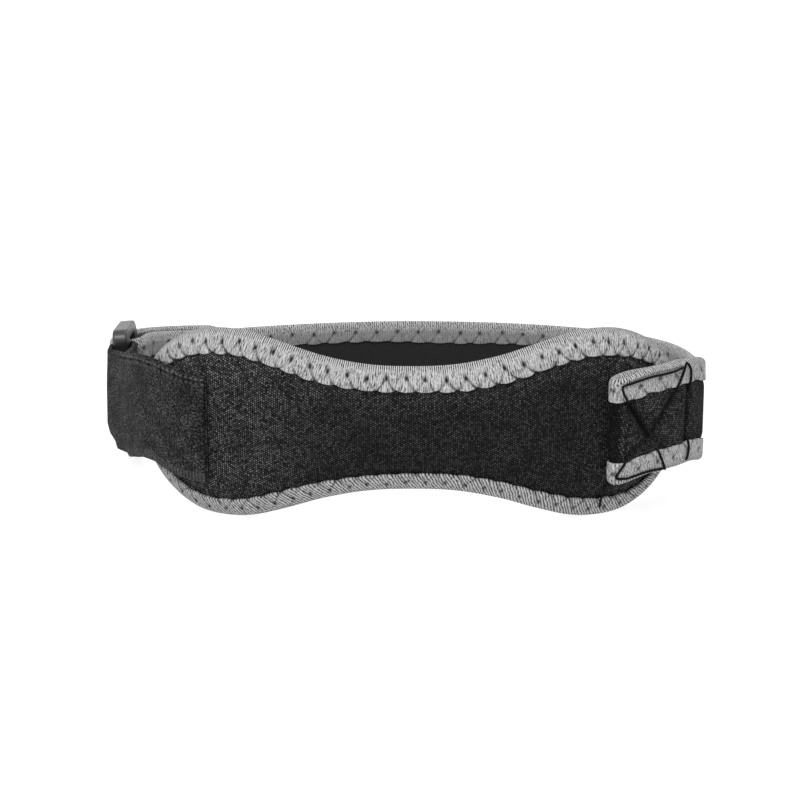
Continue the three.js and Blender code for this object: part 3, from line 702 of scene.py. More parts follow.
def pad_cloth_grid(size, pitch):
    """Both faces of the pad in one closed grid: rows along it, and columns round its section. The half
    height rises as a sine of the inward distance, swells where no strap or tab is sewn on, and puckers as a
    cosine along the edge at each stitch. The long edges curl back as a parabola, as in on_pad_edge."""
    rows, columns = size
    edge_x, table = pad_outline()
    x = PAD_HALF_LENGTH * np.sin(np.linspace(-1, 1, 4001) * np.pi / 2)
    _, h, slope = read(x, edge_x, table).T
    inside = x[h - PAD_INSET * np.hypot(1, slope) > 0.05]
    reach = min(-inside.min(), inside.max())
    a = np.linspace(-1, 1, rows)
    x = (reach * (0.75 * a + 0.25 * np.sin(a * np.pi / 2)))[:, None]
    q, h, slope = (values[:, None] for values in read(x[:, 0], edge_x, table).T)
    steep = np.hypot(1, slope)
    tall = np.maximum(h - PAD_INSET * steep, 0)
    tall[[0, -1]] = 0
    y = np.sin(np.linspace(-np.pi / 2, np.pi / 2, columns))[None, :] * tall
    inward = (h - np.abs(y)) / steep
    free = 1 - ease(np.abs(x), STRAP_START - 20, STRAP_START - 4)
    full = PAD_FLAT_HALF + (PAD_SLACK_HALF - PAD_FLAT_HALF) * free
    share = np.clip((inward - PAD_INSET) / PAD_ROUND, 0, 1)
    half = PAD_SEAM_HALF + (full - PAD_SEAM_HALF) * np.sin(share * np.pi / 2) ** 1.15
    pucker = PAD_PUCKER * np.cos(2 * np.pi * q / pitch) * np.exp(-np.clip(inward - 6.5, 0, None) / 2.6)
    wander = PAD_WANDER * np.sin(x / 7.1 + y / 5.3) * np.sin(y / 6.7 - x / 11.3) * ease(inward, 5, 12)
    curl = PAD_CURL / steep**2
    rest = np.clip(1 - inward / CURL_REACH, 0, None)
    tilt = 2 * curl / CURL_REACH * rest
    across = np.where(y >= 0, -1, 1) / steep
    sides = []
    for side in (1, -1):
        through = side * (half + pucker + wander)
        shift = -through * tilt / np.hypot(1, tilt)
        out = through / np.hypot(1, tilt) - curl * rest**2
        sides.append(on_loop(x + slope / steep * shift, out, y + across * shift + PAD_LEVEL))
    x = np.broadcast_to(x, y.shape)
    # Painted light: the knit shows more pale yarn toward the pad's left and right ends and along its upper
    # edge
    lit = 0.22 + 0.42 * ease(-x, 8, 60) ** 1.3 + 0.36 * ease(x, 46, 68)
    lit = lit + 0.14 * ease(y, 0, 1) * ease(-inward, -14, -7)
    held = 1 - ease(inward, 6.5, 10) * free
    return {
        "places": both(*sides),
        "flat": np.stack([both(x, x), both(y, y + PAD_BACK_SHIFT)], -1),
        "lit": both(lit, lit),
        "held": both(held, held),
        "round_columns": True,
    }


def swelling(grid):
    """How far cloth simulation moves each place of a grid, in millimetres: the closed cloth is blown up by
    an even pressure, held where its held share is one. Moves are eased off as a hyperbolic tangent toward
    PAD_SWELL."""
    places = to_part(grid["places"][1:-1])
    rows, columns = places.shape[:2]
    mesh = bpy.data.meshes.new("blown pad")
    mesh.from_pydata(places.reshape(-1, 3), [], grid_faces(rows, columns, False, True).tolist())
    body = place_object("blown pad", mesh)
    group = body.vertex_groups.new(name="held")
    for place, share in enumerate(grid["held"][1:-1].ravel().tolist()):
        group.add([place], share, "REPLACE")
    cloth = body.modifiers.new("cloth", "CLOTH")
    cloth.settings.vertex_group_mass = "held"
    cloth.settings.use_pressure = True
    cloth.settings.uniform_pressure_force = PAD_PRESSURE
    cloth.settings.effector_weights.gravity = 0.0
    cloth.settings.bending_stiffness = PAD_STIFFNESS
    cloth.collision_settings.use_collision = False
    cloth.point_cache.frame_end = BLOWN_FRAMES
    for number in range(1, BLOWN_FRAMES + 1):
        bpy.context.scene.frame_set(number)
    blown = body.evaluated_get(bpy.context.evaluated_depsgraph_get())
    after = np.empty(rows * columns * 3)
    blown.data.vertices.foreach_get("co", after)
    bpy.context.scene.frame_set(1)
    bpy.data.objects.remove(body)
    bpy.data.meshes.remove(mesh)
    moved = (after.reshape(rows, columns, 3) - places) * 1000
    size = np.linalg.norm(moved, axis=-1, keepdims=True)
    moved *= PAD_SWELL * np.tanh(size / PAD_SWELL) / np.maximum(size, 1e-9)
    return np.pad(moved, [(1, 1), (0, 0), (0, 0)])


def blow_up(grid, coarse):
    """A fine grid moved by the swelling of a coarse one, read between its rows and its columns by straight
    interpolation, and turned back into the loop's frame."""
    moved = swelling(coarse)
    c, s = math.cos(REST_TILT), math.sin(REST_TILT)
    y, z = moved[..., 1], moved[..., 2]
    moved = np.stack([moved[..., 0], y * c - z * s, y * s + z * c], -1)
    rows, columns = grid["places"].shape[:2]
    few, less = moved.shape[:2]
    by_row = read(np.linspace(0, 1, rows), np.linspace(0, 1, few), moved.reshape(few, -1))
    by_row = by_row.reshape(rows, less, 3)
    halves = []
    for half in (by_row[:, :less // 2], by_row[:, less // 2:]):
        table = half.transpose(1, 0, 2).reshape(less // 2, -1)
        fine = read(np.linspace(0, 1, columns // 2), np.linspace(0, 1, less // 2), table)
        halves.append(fine.reshape(columns // 2, rows, 3).transpose(1, 0, 2))
    return {**grid, "places": grid["places"] + np.concatenate(halves, 1)}


def rounded_rectangle(half_width, half_length, corner, count):
    """Places at even shares round a rectangle with quarter-circle corners, from the middle of its right
    side. Each side and each corner takes its own share of the count, so that the rows of two outlines keep
    opposite."""
    turn = np.linspace(0, np.pi / 2, 16)
    quarters = []
    for k, (sx, sy) in enumerate(((1, 1), (-1, 1), (-1, -1), (1, -1))):
        centre = np.array([sx * (half_width - corner), sy * (half_length - corner)])
        a = turn + k * np.pi / 2
        quarters.append(centre + corner * np.stack([np.cos(a), np.sin(a)], 1))
    start = np.array([[half_width, 0.0]])
    outline = np.concatenate([start, *quarters, start])
    steps = np.concatenate([[0.0], *[k + 0.5 + np.linspace(-0.16, 0.16, 16) for k in range(4)], [4.0]])
    return read(np.linspace(0, 4, count, endpoint=False), steps, outline)


def ring_grid():
    """The ring: rows round it, and columns round the bar's section, which is a superellipse: the cosine and
    the sine of the turn, each raised to a small power, blend from the slot's outline to the outer one and
    up."""
    rows, columns = RING_GRID
    outer = rounded_rectangle(SLOT_WIDTH / 2 + BAR_WIDTH, RING_HALF_LENGTH, RING_CORNER, rows)
    inner = rounded_rectangle(SLOT_WIDTH / 2, SLOT_HALF_LENGTH, SLOT_CORNER, rows)
    turn = np.linspace(0, 2 * np.pi, columns, endpoint=False)
    w, n = (np.sign(wave) * np.abs(wave) ** RING_POWER for wave in (np.cos(turn), np.sin(turn)))
    flat = inner[:, None, :] + (outer - inner)[:, None, :] * (0.5 + 0.5 * w)[None, :, None]
    places = on_ring(flat[..., 0], np.broadcast_to(n * RING_THICKNESS / 2, flat.shape[:2]), flat[..., 1])
    return {"places": places, "flat": flat, "round_rows": True, "round_columns": True}


def hook_grid():
    """The hook patch: a thin slab under the strap's free end, whose outer face rises in rows of small hooks
    as a product of two squared sines."""
    rows, columns = HOOK_GRID
    start = STRAP_LENGTH - TAPE_WIDTH - GAP - HOOK_LENGTH
    d = np.linspace(start, start + HOOK_LENGTH, rows)[:, None]
    v = np.linspace(-HOOK_HALF_WIDTH, HOOK_HALF_WIDTH, columns)[None, :]
    d, v = np.broadcast_arrays(d, v)
    near = STRAP_HALF + GAP
    hooks = HOOK_RISE * np.sin(d * HOOK_TURN) ** 2 * np.sin(v * HOOK_TURN) ** 2
    first = on_band(STRAP_BAND, d, v, np.full(d.shape, near + 0.02))
    second = on_band(STRAP_BAND, d, v, near + 2 * HOOK_HALF - HOOK_RISE + hooks)
    return {
        "places": both(first, second),
        "flat": np.stack([both(d, d), both(v, v + HOOK_BACK_SHIFT)], -1),
        "lit": 0.6,
        "round_columns": True,
        "caps": True,
    }


def tube(places, radius, sides=8, taper=0.12):
    """A round thread along places: circles square to them, whose radius falls to nothing at both ends as
    the square root of one less a square."""
    distance, along = measure(places, False)
    share = distance / distance[-1]
    ends = np.clip(1 - np.minimum(share, 1 - share) / taper, 0, 1)
    size = radius * np.sqrt(np.clip(1 - ends**2, 0, 1))
    first = unit(np.cross(along, np.array([0.13, 0.21, 0.97])))
    second = np.cross(along, first)
    turn = np.linspace(0, 2 * np.pi, sides, endpoint=False)
    around = np.cos(turn)[:, None] * first[:, None, :] + np.sin(turn)[:, None] * second[:, None, :]
    flat = np.stack(np.broadcast_arrays(distance[:, None], turn[None, :] * radius), -1)
    places = places[:, None, :] + size[:, None, None] * around
    return {"places": places, "flat": flat, "round_columns": True}


def thread_route(row, put):
    """A thread's route through the places of a row, read at even steps and smoothed a little."""
    points = np.array(row, float)
    distance, _ = measure(points, False)
    at = np.linspace(0, distance[-1], max(8, int(distance[-1] * 3)))
    first, second, third = read(at, distance, points).T
    return smooth(put(first, second, third), 2)


# How the strap's and the tab's surfaces vary along d, across v and on each side


def strap_half_width(d):
    """The cloth's half width: full, and a quarter circle at the free end's corners."""
    rim = STRAP_HALF_WIDTH - TAPE_WALL - 2 * GAP
    radius = STRAP_CORNER - TAPE_WALL - 2 * GAP
    into = np.clip(d - (STRAP_LENGTH - STRAP_CORNER), 0, radius)
    return rim - radius + np.sqrt(np.maximum(0.04, radius**2 - into**2))


def strap_half_height(d, v):
    """The cloth's half height: thin under the tape, and a smooth step to full beside it."""
    edge = np.minimum(np.minimum(strap_half_width(d) + 1.6 - np.abs(v), STRAP_LENGTH - d), d + 4)
    return STRAP_RIM_HALF - 0.05 + (STRAP_HALF - STRAP_RIM_HALF) * ease(edge, 4.6, 9.0)


def quilting(d, v):
    """How deep the stitching pulls the cloth in: the sum of a narrow and a wide bell curve of the distance
    from each line of the table, the deepest of them at each place."""
    deep = np.zeros(np.broadcast(d, v).shape)
    for (d0, v0), (d1, v1), strength in QUILT_ROWS:
        length = math.hypot(d1 - d0, v1 - v0)
        along = np.clip(((d - d0) * (d1 - d0) + (v - v0) * (v1 - v0)) / length**2, 0, 1)
        away = np.hypot(d - d0 - along * (d1 - d0), v - v0 - along * (v1 - v0))
        deep = np.maximum(deep, strength * (0.6 * bump(away, 0.9) + 0.4 * bump(away, 2.6)))
    return deep


def on_folded_end(d, side):
    """One on the outer face of the strap's folded end, and nothing elsewhere, with smooth steps between."""
    return window(d, *FOLDED_END_AT) * (side > 0)


def strap_relief(d, v, side):
    """A product of two slow sines, and the furrows of the quilting on the folded end."""
    edge = ease(STRAP_HALF_WIDTH - np.abs(v), 5, 9)
    slow = 0.12 * np.sin(d / 6.3 + side) * np.sin(v / 4.1 + d / 15.7)
    return edge * (slow + on_folded_end(d, side) * (0.25 - 1.0 * quilting(d, v)))


def strap_shade(d, v, side):
    """Painted shade: darker along the furrows, and on the tight round of the fold."""
    fold = window(d, *FOLD_SHADE_AT) * (side > 0) * 0.8
    return np.clip(fold + on_folded_end(d, side) * 0.75 * quilting(d, v) ** 1.3, 0, 1) + 0 * v


def strap_lit(d, v, side):
    """The stretched cloth of the folded end shows more of its pale yarn than the rest."""
    return 0.4 + 0.26 * on_folded_end(d, side) + 0 * v


def tab_half_width(d):
    """The tab's half width, the same all along."""
    return np.full_like(d, STRAP_HALF_WIDTH)


def tab_half_height(d, v):
    """The tab's half height: full, with a quarter circle round all its edges."""
    edge = np.minimum(STRAP_HALF_WIDTH - np.abs(v), np.minimum(d, TAB_LENGTH - d))
    return TAB_HALF * np.sqrt(np.clip(1 - np.clip(1 - edge / TAB_HALF, 0, 1) ** 2, 0.01, 1))


def on_sewn_tab(d, side):
    """One on the outer face of the tab's outer layer, and nothing elsewhere, with a smooth step between."""
    return ease(d, 0.6 * TAB_LENGTH, 0.7 * TAB_LENGTH) * (side > 0)


def tab_holes(d, v):
    """A small bell curve at each needle hole below the tab's upper edge."""
    return bump(np.hypot(np.mod(d, TAB_STITCH) - TAB_STITCH / 2, v - TAB_SEAM), 0.5)


def tab_relief(d, v, side):
    """Two slow sines, the seam below the upper edge, a slanting crease at its sewn corner, and the ribs of
    the selvedge along the lower edge."""
    slow = 0.14 * np.sin(d / 5.1 + side) * np.sin(v / 3.7 + d / 9.7)
    seam = 0.35 * bump(v - TAB_SEAM, 0.4) + 0.5 * tab_holes(d, v)
    last = ease(d, 0.86 * TAB_LENGTH, 0.9 * TAB_LENGTH)
    ribs = 0.12 * np.sin(d * 2 * np.pi / TAB_RIB) * ease(-v, TAB_SELVEDGE - 0.5, TAB_SELVEDGE + 0.5)
    crease = 0.35 * bump((v - 11.8) * 0.6 - (d - TAB_LENGTH) * 0.62, 0.5) * ease(v, 1, 5) * last
    return slow + on_sewn_tab(d, side) * (ribs - seam - crease)


def tab_shade(d, v, side):
    """Painted shade: darker along the seam and in its needle holes."""
    return np.clip(on_sewn_tab(d, side) * (0.5 * bump(v - TAB_SEAM, 0.35) + 0.9 * tab_holes(d, v)), 0, 1)


def tab_lit(d, v, side):
    """Paler on the stitches beside the seam, which are dashes along d, and on the selvedge's ribs."""
    dash = ease(np.sin(d * 2 * np.pi / TAB_DASH), -0.2, 0.4)
    stitches = 0.75 * dash * (bump(v - TAB_SEAM - 0.75, 0.3) + 0.6 * bump(v - TAB_SEAM + 0.7, 0.3))
    ribs = 0.12 + 0.3 * ease(np.sin(d * 2 * np.pi / TAB_RIB), 0, 1)
    selvedge = ease(-v, TAB_SELVEDGE - 0.3, TAB_SELVEDGE + 0.3) * ribs
    return on_sewn_tab(d, side) * (stitches + selvedge)


# Materials


class Net:
    """Builds a node tree: each call adds one node, sets or links its inputs, and gives what it puts out."""

    def __init__(self, tree):
        self.tree = tree
        tree.nodes.clear()

    def add(self, kind, inputs=None, **settings):
        """A node of a kind with its inputs linked to sockets or set to values."""
        node = self.tree.nodes.new(kind)
        for name, value in settings.items():
            setattr(node, name, value)
        for key, value in (inputs or {}).items():
            if isinstance(value, bpy.types.NodeSocket):
                self.tree.links.new(value, node.inputs[key])
            else:
                node.inputs[key].default_value = value
        return node

    def group(self, name, inputs):
        """A shared node group by its name."""
        return self.add("ShaderNodeGroup", inputs, node_tree=bpy.data.node_groups[name]).outputs

    def sum(self, operation, a, b=0.5, c=0.5, clamp=False):
        """One step of arithmetic."""
        inputs = {0: a, 1: b, 2: c}
        return self.add("ShaderNodeMath", inputs, operation=operation, use_clamp=clamp).outputs[0]

    def times(self, a, b, clamp=False):
        """The product of two numbers."""
        return self.sum("MULTIPLY", a, b, clamp=clamp)

    def line(self, a, slope, start, clamp=True):
        """A number times a slope plus a start, kept between 0 and 1 unless clamp is false."""
        return self.sum("MULTIPLY_ADD", a, slope, start, clamp)

    def blend(self, share, a, b):
        """Two numbers blended by a share."""
        return self.add("ShaderNodeMix", {0: share, 2: a, 3: b}).outputs[0]

    def mix(self, share, a, b):
        """Two colours blended by a share."""
        return self.add("ShaderNodeMix", {0: share, 6: a, 7: b}, data_type="RGBA").outputs[2]

    def noise(self, place, detail=2.0, rough=0.5, scale=1.0):
        """A soft noise between 0 and 1."""
        inputs = {"Vector": place, "Scale": scale, "Detail": detail, "Roughness": rough}
        return self.add("ShaderNodeTexNoise", inputs).outputs[0]

    def scaled(self, place, x, y, turn=0.0):
        """A place turned and scaled."""
        inputs = {"Vector": place, "Scale": (x, y, 1.0), "Rotation": (0.0, 0.0, turn)}
        return self.add("ShaderNodeMapping", inputs).outputs[0]

    def parts(self, place):
        """The three numbers of a place."""
        return self.add("ShaderNodeSeparateXYZ", {0: place}).outputs

    def ridges(self, place, thin):
        """Thin curling lines where a noise crosses its middle value."""
        away = self.sum("ABSOLUTE", self.sum("SUBTRACT", self.noise(place, 1.0), 0.5))
        return self.line(away, -thin, 1.0)

    def share(self, name):
        """A piece's own attribute."""
        return self.add("ShaderNodeAttribute", attribute_name=name).outputs[2]

    def flat(self):
        """The place in the flat cloth, in millimetres, from the piece's own UV map."""
        return self.add("ShaderNodeUVMap", uv_map="flat").outputs[0]

    def own(self):
        """The place in the piece's own space."""
        return self.add("ShaderNodeTexCoord").outputs["Object"]

    def bump(self, height, distance, strength=1.0):
        """A normal bent by a height, as deep as a distance in millimetres."""
        inputs = {"Height": height, "Distance": distance / 1000, "Strength": strength}
        return self.add("ShaderNodeBump", inputs).outputs[0]

    def finish(self, colour, normal, roughness, **others):
        """The shader and the material's output. Others are the shader's other inputs by their names."""
        inputs = {"Base Color": colour, "Roughness": roughness, "Specular IOR Level": CLOTH_SPECULAR}
        if normal:
            inputs["Normal"] = normal
        inputs.update({name.replace("_", " "): value for name, value in others.items()})
        shader = self.add("ShaderNodeBsdfPrincipled", inputs)
        self.add("ShaderNodeOutputMaterial", {0: shader.outputs[0]})


def new_group(name, inputs, outputs):
    """A shader node group with its sockets, and the net inside it."""
    tree = bpy.data.node_groups.new(name, "ShaderNodeTree")
    for label, kind in inputs:
        tree.interface.new_socket(label, in_out="INPUT", socket_type=kind)
    for label in outputs:
        tree.interface.new_socket(label, in_out="OUTPUT", socket_type="NodeSocketFloat")
    net = Net(tree)
    return net, net.add("NodeGroupInput").outputs, net.add("NodeGroupOutput").inputs


def knit_group():
    """Knit stitches: a brick layout of cells, each a small hill, with one random number for each cell."""
    net, given, out = new_group("knit cells", [("Place", "NodeSocketVector")], ["Relief", "Chance"])
    first, second, _ = net.parts(given[0])
    row = net.sum("FLOOR", second)
    x = net.sum("ADD", first, net.times(net.sum("FLOORED_MODULO", row, 2.0), 0.5))
    rise_x, rise_y = (net.sum("SINE", net.times(net.sum("FRACT", way), math.pi)) for way in (x, second))
    cell = net.add("ShaderNodeCombineXYZ", {0: net.sum("FLOOR", x), 1: row}).outputs[0]
    chance = net.add("ShaderNodeTexWhiteNoise", {"Vector": cell}, noise_dimensions="2D").outputs[0]
    net.tree.links.new(net.times(rise_x, net.sum("POWER", rise_y, 0.6)), out[0])
    net.tree.links.new(chance, out[1])


def rib_group():
    """Ribs: a sine of the place's first number, bent by a noise."""
    sockets = [("Place", "NodeSocketVector"), ("Bend", "NodeSocketFloat")]
    net, given, out = new_group("ribs", sockets, ["Relief"])
    bend = net.times(net.noise(given[0], scale=0.35), given[1])
    wave = net.sum("SINE", net.times(net.sum("ADD", net.parts(given[0])[0], bend), 2 * math.pi))
    net.tree.links.new(net.line(wave, 0.5, 0.5, False), out[0])


def new_material(name):
    """A new material by its name, as the net of its nodes."""
    material = bpy.data.materials.new(name)
    material.use_nodes = True
    return Net(material.node_tree)


def grey(value):
    """A neutral colour from a display level between 0 and 255."""
    level = value / 255
    linear = level / 12.92 if level <= 0.04045 else ((level + 0.055) / 1.055) ** 2.4
    return (linear, linear, linear, 1.0)


def knit_material(name, dark, light, across, along, turn, lining=None):
    """Black knit: small stitches, of which a few catch the light, over a soft uneven ground. The lit
    attribute says how many show, and the back face takes the plain lining where there is one."""
    net = new_material(name)
    place = net.flat()
    cells = net.group("knit cells", {0: net.scaled(place, 1 / across, 1 / along, turn)})
    fine = net.noise(net.scaled(place, 2.2, 2.2), 3.0)
    broad = net.noise(net.scaled(place, 0.11, 0.11))
    often = net.line(net.sum("POWER", cells[1], 1.5), 1.3, 0.22, False)
    shine = net.times(often, net.sum("POWER", cells[0], 2.0))
    shine = net.times(shine, net.line(fine, 2.8, -0.8))
    shine = net.times(shine, net.line(broad, 1.5, 0.15))
    shine = net.line(net.ridges(net.scaled(place, 1.2, 0.9), 8.0), 0.1, shine, False)
    shine = net.line(shine, 1.35, -0.08)
    colour = net.mix(net.times(shine, net.share("lit"), True), dark, light)
    if lining:
        on_back = net.sum("SUBTRACT", net.parts(place)[1], BAND_BACK_SHIFT / 2, clamp=True)
        colour = net.mix(on_back, colour, lining)
    # Painted shade: the sewn attribute darkens furrows, seams, needle holes and the fold toward a near-black
    # grey
    colour = net.mix(net.share("sewn"), colour, grey(CLOTH_PAINTED_SHADE_GREY))
    height = net.line(fine, 0.5, cells[0], False)
    net.finish(colour, net.bump(height, 0.15, 0.8), 0.9)


def tape_material(name, dark, light, pitch):
    """Grey crimped tape: ribs across its rolled edge, stretched strands toward its inner edge, slanting
    ribs where the slant attribute says so, and painted shade: darker in the creases and needle holes that the
    sewn attribute marks, and darker and flatter on the inside face."""
    net = new_material(name)
    place = net.flat()
    slant = net.share("slant")
    straight, aslant, bent = (
        net.group("ribs", {0: net.scaled(place, first / pitch, second, turn), 1: bend})[0]
        for first, second, turn, bend in (
            (1, 0.15, 0.0, 0.9), (0.78, 0.78 / pitch, 0.62, 1.5), (0.95, 0.9, -0.2, 3.2),
        )
    )
    strands = net.ridges(net.scaled(place, 1.3, 0.36, 0.1), 4.5)
    fine = net.noise(net.scaled(place, 2.4, 1.4), 3.0, 0.65)
    specks = net.noise(net.scaled(place, 1.5, 0.9), 1.0)
    across = net.parts(place)[1]
    ribs = net.times(net.blend(slant, straight, aslant), net.line(specks, 1.6, 0.15))
    crinkle = net.line(strands, 0.5, net.times(bent, 0.42), False)
    ribbed = net.line(net.sum("ABSOLUTE", across), -0.6, 1.75)
    ribbed = net.sum("MAXIMUM", ribbed, net.line(slant, 0.62, 0.12))
    relief = net.line(net.blend(ribbed, crinkle, ribs), 0.66, net.times(fine, 0.85), False)
    tone = net.line(relief, 1.95, -0.86)
    # Painted shade: the inside face, past the rolled edge, is darker and of flatter tone
    inside = net.line(across, -0.7, -1.3)
    shaded_flat_tone = net.line(net.sum("SUBTRACT", tone, 0.4), 0.35, 0.33, False)
    colour = net.mix(net.blend(inside, tone, shaded_flat_tone), dark, light)
    # Painted shade: the sewn attribute darkens creases and needle holes toward a near-black grey
    colour = net.mix(net.times(net.share("sewn"), 0.93, True), colour, grey(TAPE_PAINTED_SHADE_GREY))
    net.finish(colour, net.bump(relief, 0.28, 0.9), 0.85)


def brushed_material(name, dark, light, stitch):
    """Charcoal brushed cloth: short soft fibres in no direction, and paler where the lit attribute says so."""
    net = new_material(name)
    place = net.flat()
    fuzz = net.noise(net.scaled(place, 1.5, 1.5), 5.0, 0.7)
    curls = net.ridges(net.scaled(place, 1.0, 1.0), 8.0)
    more = net.ridges(net.scaled(place, 0.8, 1.3, 0.9), 10.0)
    broad = net.noise(net.scaled(place, 0.16, 0.16))
    share = net.line(curls, 0.7, net.times(more, 0.6), False)
    share = net.times(share, net.line(broad, 1.6, 0.1, False))
    share = net.line(fuzz, 1.95, net.line(share, 0.9, -1.31, False))
    colour = net.mix(net.share("lit"), net.mix(share, dark, light), stitch)
    # Painted shade: the sewn attribute darkens the seam and its needle holes
    colour = net.mix(net.times(net.share("sewn"), 0.9, True), colour, grey(CLOTH_PAINTED_SHADE_GREY))
    normal = net.bump(net.sum("ADD", fuzz, curls), 0.3)
    net.finish(colour, normal, 0.95, Sheen_Weight=0.06, Sheen_Roughness=0.5)


def plastic_material(name, colour, worn):
    """Dark moulded plastic with a satin face and a faint grain."""
    net = new_material(name)
    grain = net.noise(net.own(), scale=2600.0)
    net.finish(net.mix(grain, colour, worn), net.bump(grain, 0.04, 0.5), 0.33, Specular_IOR_Level=0.55)


def thread_material(name, dark, light):
    """Black twisted thread."""
    net = new_material(name)
    ribs = net.group("ribs", {0: net.scaled(net.flat(), 2.2, 2.2, 0.7), 1: 0.2})[0]
    net.finish(net.mix(ribs, dark, light), net.bump(ribs, 0.08, 0.8), 0.8, Specular_IOR_Level=0.1)


def floor_material(name, dark, light):
    """A matt floor with a barely uneven tone that gives off some light itself, so that shadows on it are
    faint."""
    net = new_material(name)
    tone = net.mix(net.noise(net.own(), scale=3.0), dark, light)
    glow = {"Emission_Color": grey(255), "Emission_Strength": FLOOR_GLOW}
    net.finish(tone, None, 0.9, Specular_IOR_Level=0.0, **glow)


# What a user may change, in metres, watts and linear colours


def number(name, description, value, unit="NONE", subtype="NONE", least=0.0):
    """A number property."""
    return FloatProperty(
        name=name, description=description, default=value, min=least, unit=unit, subtype=subtype
    )


def length(name, description, millimetres):
    """A length property with its default in millimetres."""
    return number(name, description, millimetres / 1000, unit="LENGTH")


def colour(name, description, level):
    """A colour property whose default is a grey of a display level."""
    return FloatVectorProperty(
        name=name, description=description, default=grey(level), size=4, min=0.0, max=1.0, subtype="COLOR"
    )


class StrapSizes(bpy.types.PropertyGroup):
    """Sizes of the sewing and of the cloth's fine structure."""

    pad_stitch: length("Pad stitch", "Distance between needle holes on the pad's tape", 5.5)
    strap_stitch: length("Strap stitch", "Distance between needle holes on the strap's tape", 6.7)
    thread_radius: length("Thread radius", "Radius of the black sewing thread", 0.36)
    stitch_wide: length("Knit stitch width", "Width of one stitch of the black knit", 0.66)
    stitch_long: length("Knit stitch length", "Length of one stitch of the black knit", 0.62)
    rib_pitch: length("Rib pitch", "Distance between the ribs of the grey tape", 0.62)


class StrapColours(bpy.types.PropertyGroup):
    """Colours of the cloth, tape, plastic and thread."""

    knit_ground: colour("Knit ground", "Black knit between its stitches", 14)
    pad_yarn: colour("Pad yarn", "Yarn that catches the light on the pad", 140)
    strap_yarn: colour("Strap yarn", "Yarn that catches the light on the strap", 114)
    lining: colour("Lining", "Plain inner face of the strap", 36)
    tape_dark: colour("Tape shade", "Grey tape in its hollows", 30)
    tape_light: colour("Tape light", "Grey tape on its ribs", 176)
    brushed_dark: colour("Brushed cloth shade", "Charcoal cloth between its fibres", 7)
    brushed_light: colour("Brushed cloth fibres", "Fibres of the charcoal cloth", 84)
    tab_stitch: colour("Tab stitching", "Stitches and selvedge of the charcoal tab", 98)
    plastic: colour("Plastic", "Moulded plastic of the ring", 22)
    plastic_worn: colour("Plastic grain", "Paler grain of the ring's plastic", 28)
    thread: colour("Thread", "Black sewing thread", 5)
    thread_light: colour("Thread light", "Black sewing thread where its plies catch the light", 16)
    floor: colour("Floor", "The studio floor", 128)
    floor_light: colour("Floor light", "The studio floor where its tone is palest", 130)


class StrapStudio(bpy.types.PropertyGroup):
    """Light and camera of the studio."""

    sky: number("Room light", "Strength of the even light all round", 1.12)
    key: number("Key light", "Power of the soft light in front on the left", 10.0, "POWER")
    top: number("Top light", "Power of the soft light overhead", 5.0, "POWER")
    back: number("Back light", "Power of the soft light behind", 1.9, "POWER")
    elevation: number("Camera elevation", "Angle of the camera above the floor", ELEVATION, subtype="ANGLE")
    distance: number("Camera distance", "Distance of the camera from the strap", 0.7, "LENGTH", least=0.1)


# One operator for each piece or group of like pieces, and one for the stage


class PATELLA_OT_materials(bpy.types.Operator):
    """Build the node groups and the materials of the cloth, tape, plastic, thread and floor"""

    bl_idname = "patella.materials"
    bl_label = "Materials"

    def execute(self, context):
        sizes, colours = context.scene.strap_sizes, context.scene.strap_colours
        wide, long = sizes.stitch_wide * 1000, sizes.stitch_long * 1000
        knit_group()
        rib_group()
        knit_material("pad knit", colours.knit_ground, colours.pad_yarn, long, wide, math.pi / 2)
        knit_material("strap knit", colours.knit_ground, colours.strap_yarn, long, wide, 1.3, colours.lining)
        tape_material("grey tape", colours.tape_dark, colours.tape_light, sizes.rib_pitch * 1000)
        brushed_material("brushed cloth", colours.brushed_dark, colours.brushed_light, colours.tab_stitch)
        plastic_material("ring plastic", colours.plastic, colours.plastic_worn)
        thread_material("black thread", colours.thread, colours.thread_light)
        floor_material("pale floor", colours.floor, colours.floor_light)
        return {"FINISHED"}


class PATELLA_OT_pad(bpy.types.Operator):
    """Build the padded cloth: both faces of the pad, blown up away from its sewn edge by cloth simulation"""

    bl_idname = "patella.pad"
    bl_label = "Padded cloth"

    def execute(self, context):
        pitch = context.scene.strap_sizes.pad_stitch * 1000
        grid = blow_up(pad_cloth_grid(PAD_GRID, pitch), pad_cloth_grid(BLOWN_GRID, pitch))
        pad = make_piece("pad_cloth", [grid], "pad", "pad knit")
        return {"FINISHED"}


def pad_edge_place(q):
    """The flat place of the pad's edge at distance q."""
    length_round, at, table = PAD_EDGE
    return read(np.mod(q, length_round), at, table, length_round)


class PATELLA_OT_pad_tape(bpy.types.Operator):
    """Build the grey tape sewn round the pad's edge with a zigzag"""

    bl_idname = "patella.pad_tape"
    bl_label = "Pad tape"

    def execute(self, context):
        def lower(q):
            return 1 - ease(pad_edge_place(q)[..., 1], -6, 6)

        def width(q):
            return 0.45 * (1 - lower(q)) * ease(pad_edge_place(q)[..., 0], -45, 0) - 0.85 * lower(q)

        pitch = context.scene.strap_sizes.pad_stitch * 1000
        grid = tape_grid(
            on_pad_edge, PAD_EDGE[0], PAD_TAPE_HALF, pitch, PAD_TAPE_STEP, closed=True, hole=0.54, meet=0.43,
            seed=11, width=width, slant=lower, gather=lambda q: 1 - 0.3 * lower(q),
        )
        make_piece("pad_tape", [grid], "pad_binding", "grey tape")
        return {"FINISHED"}


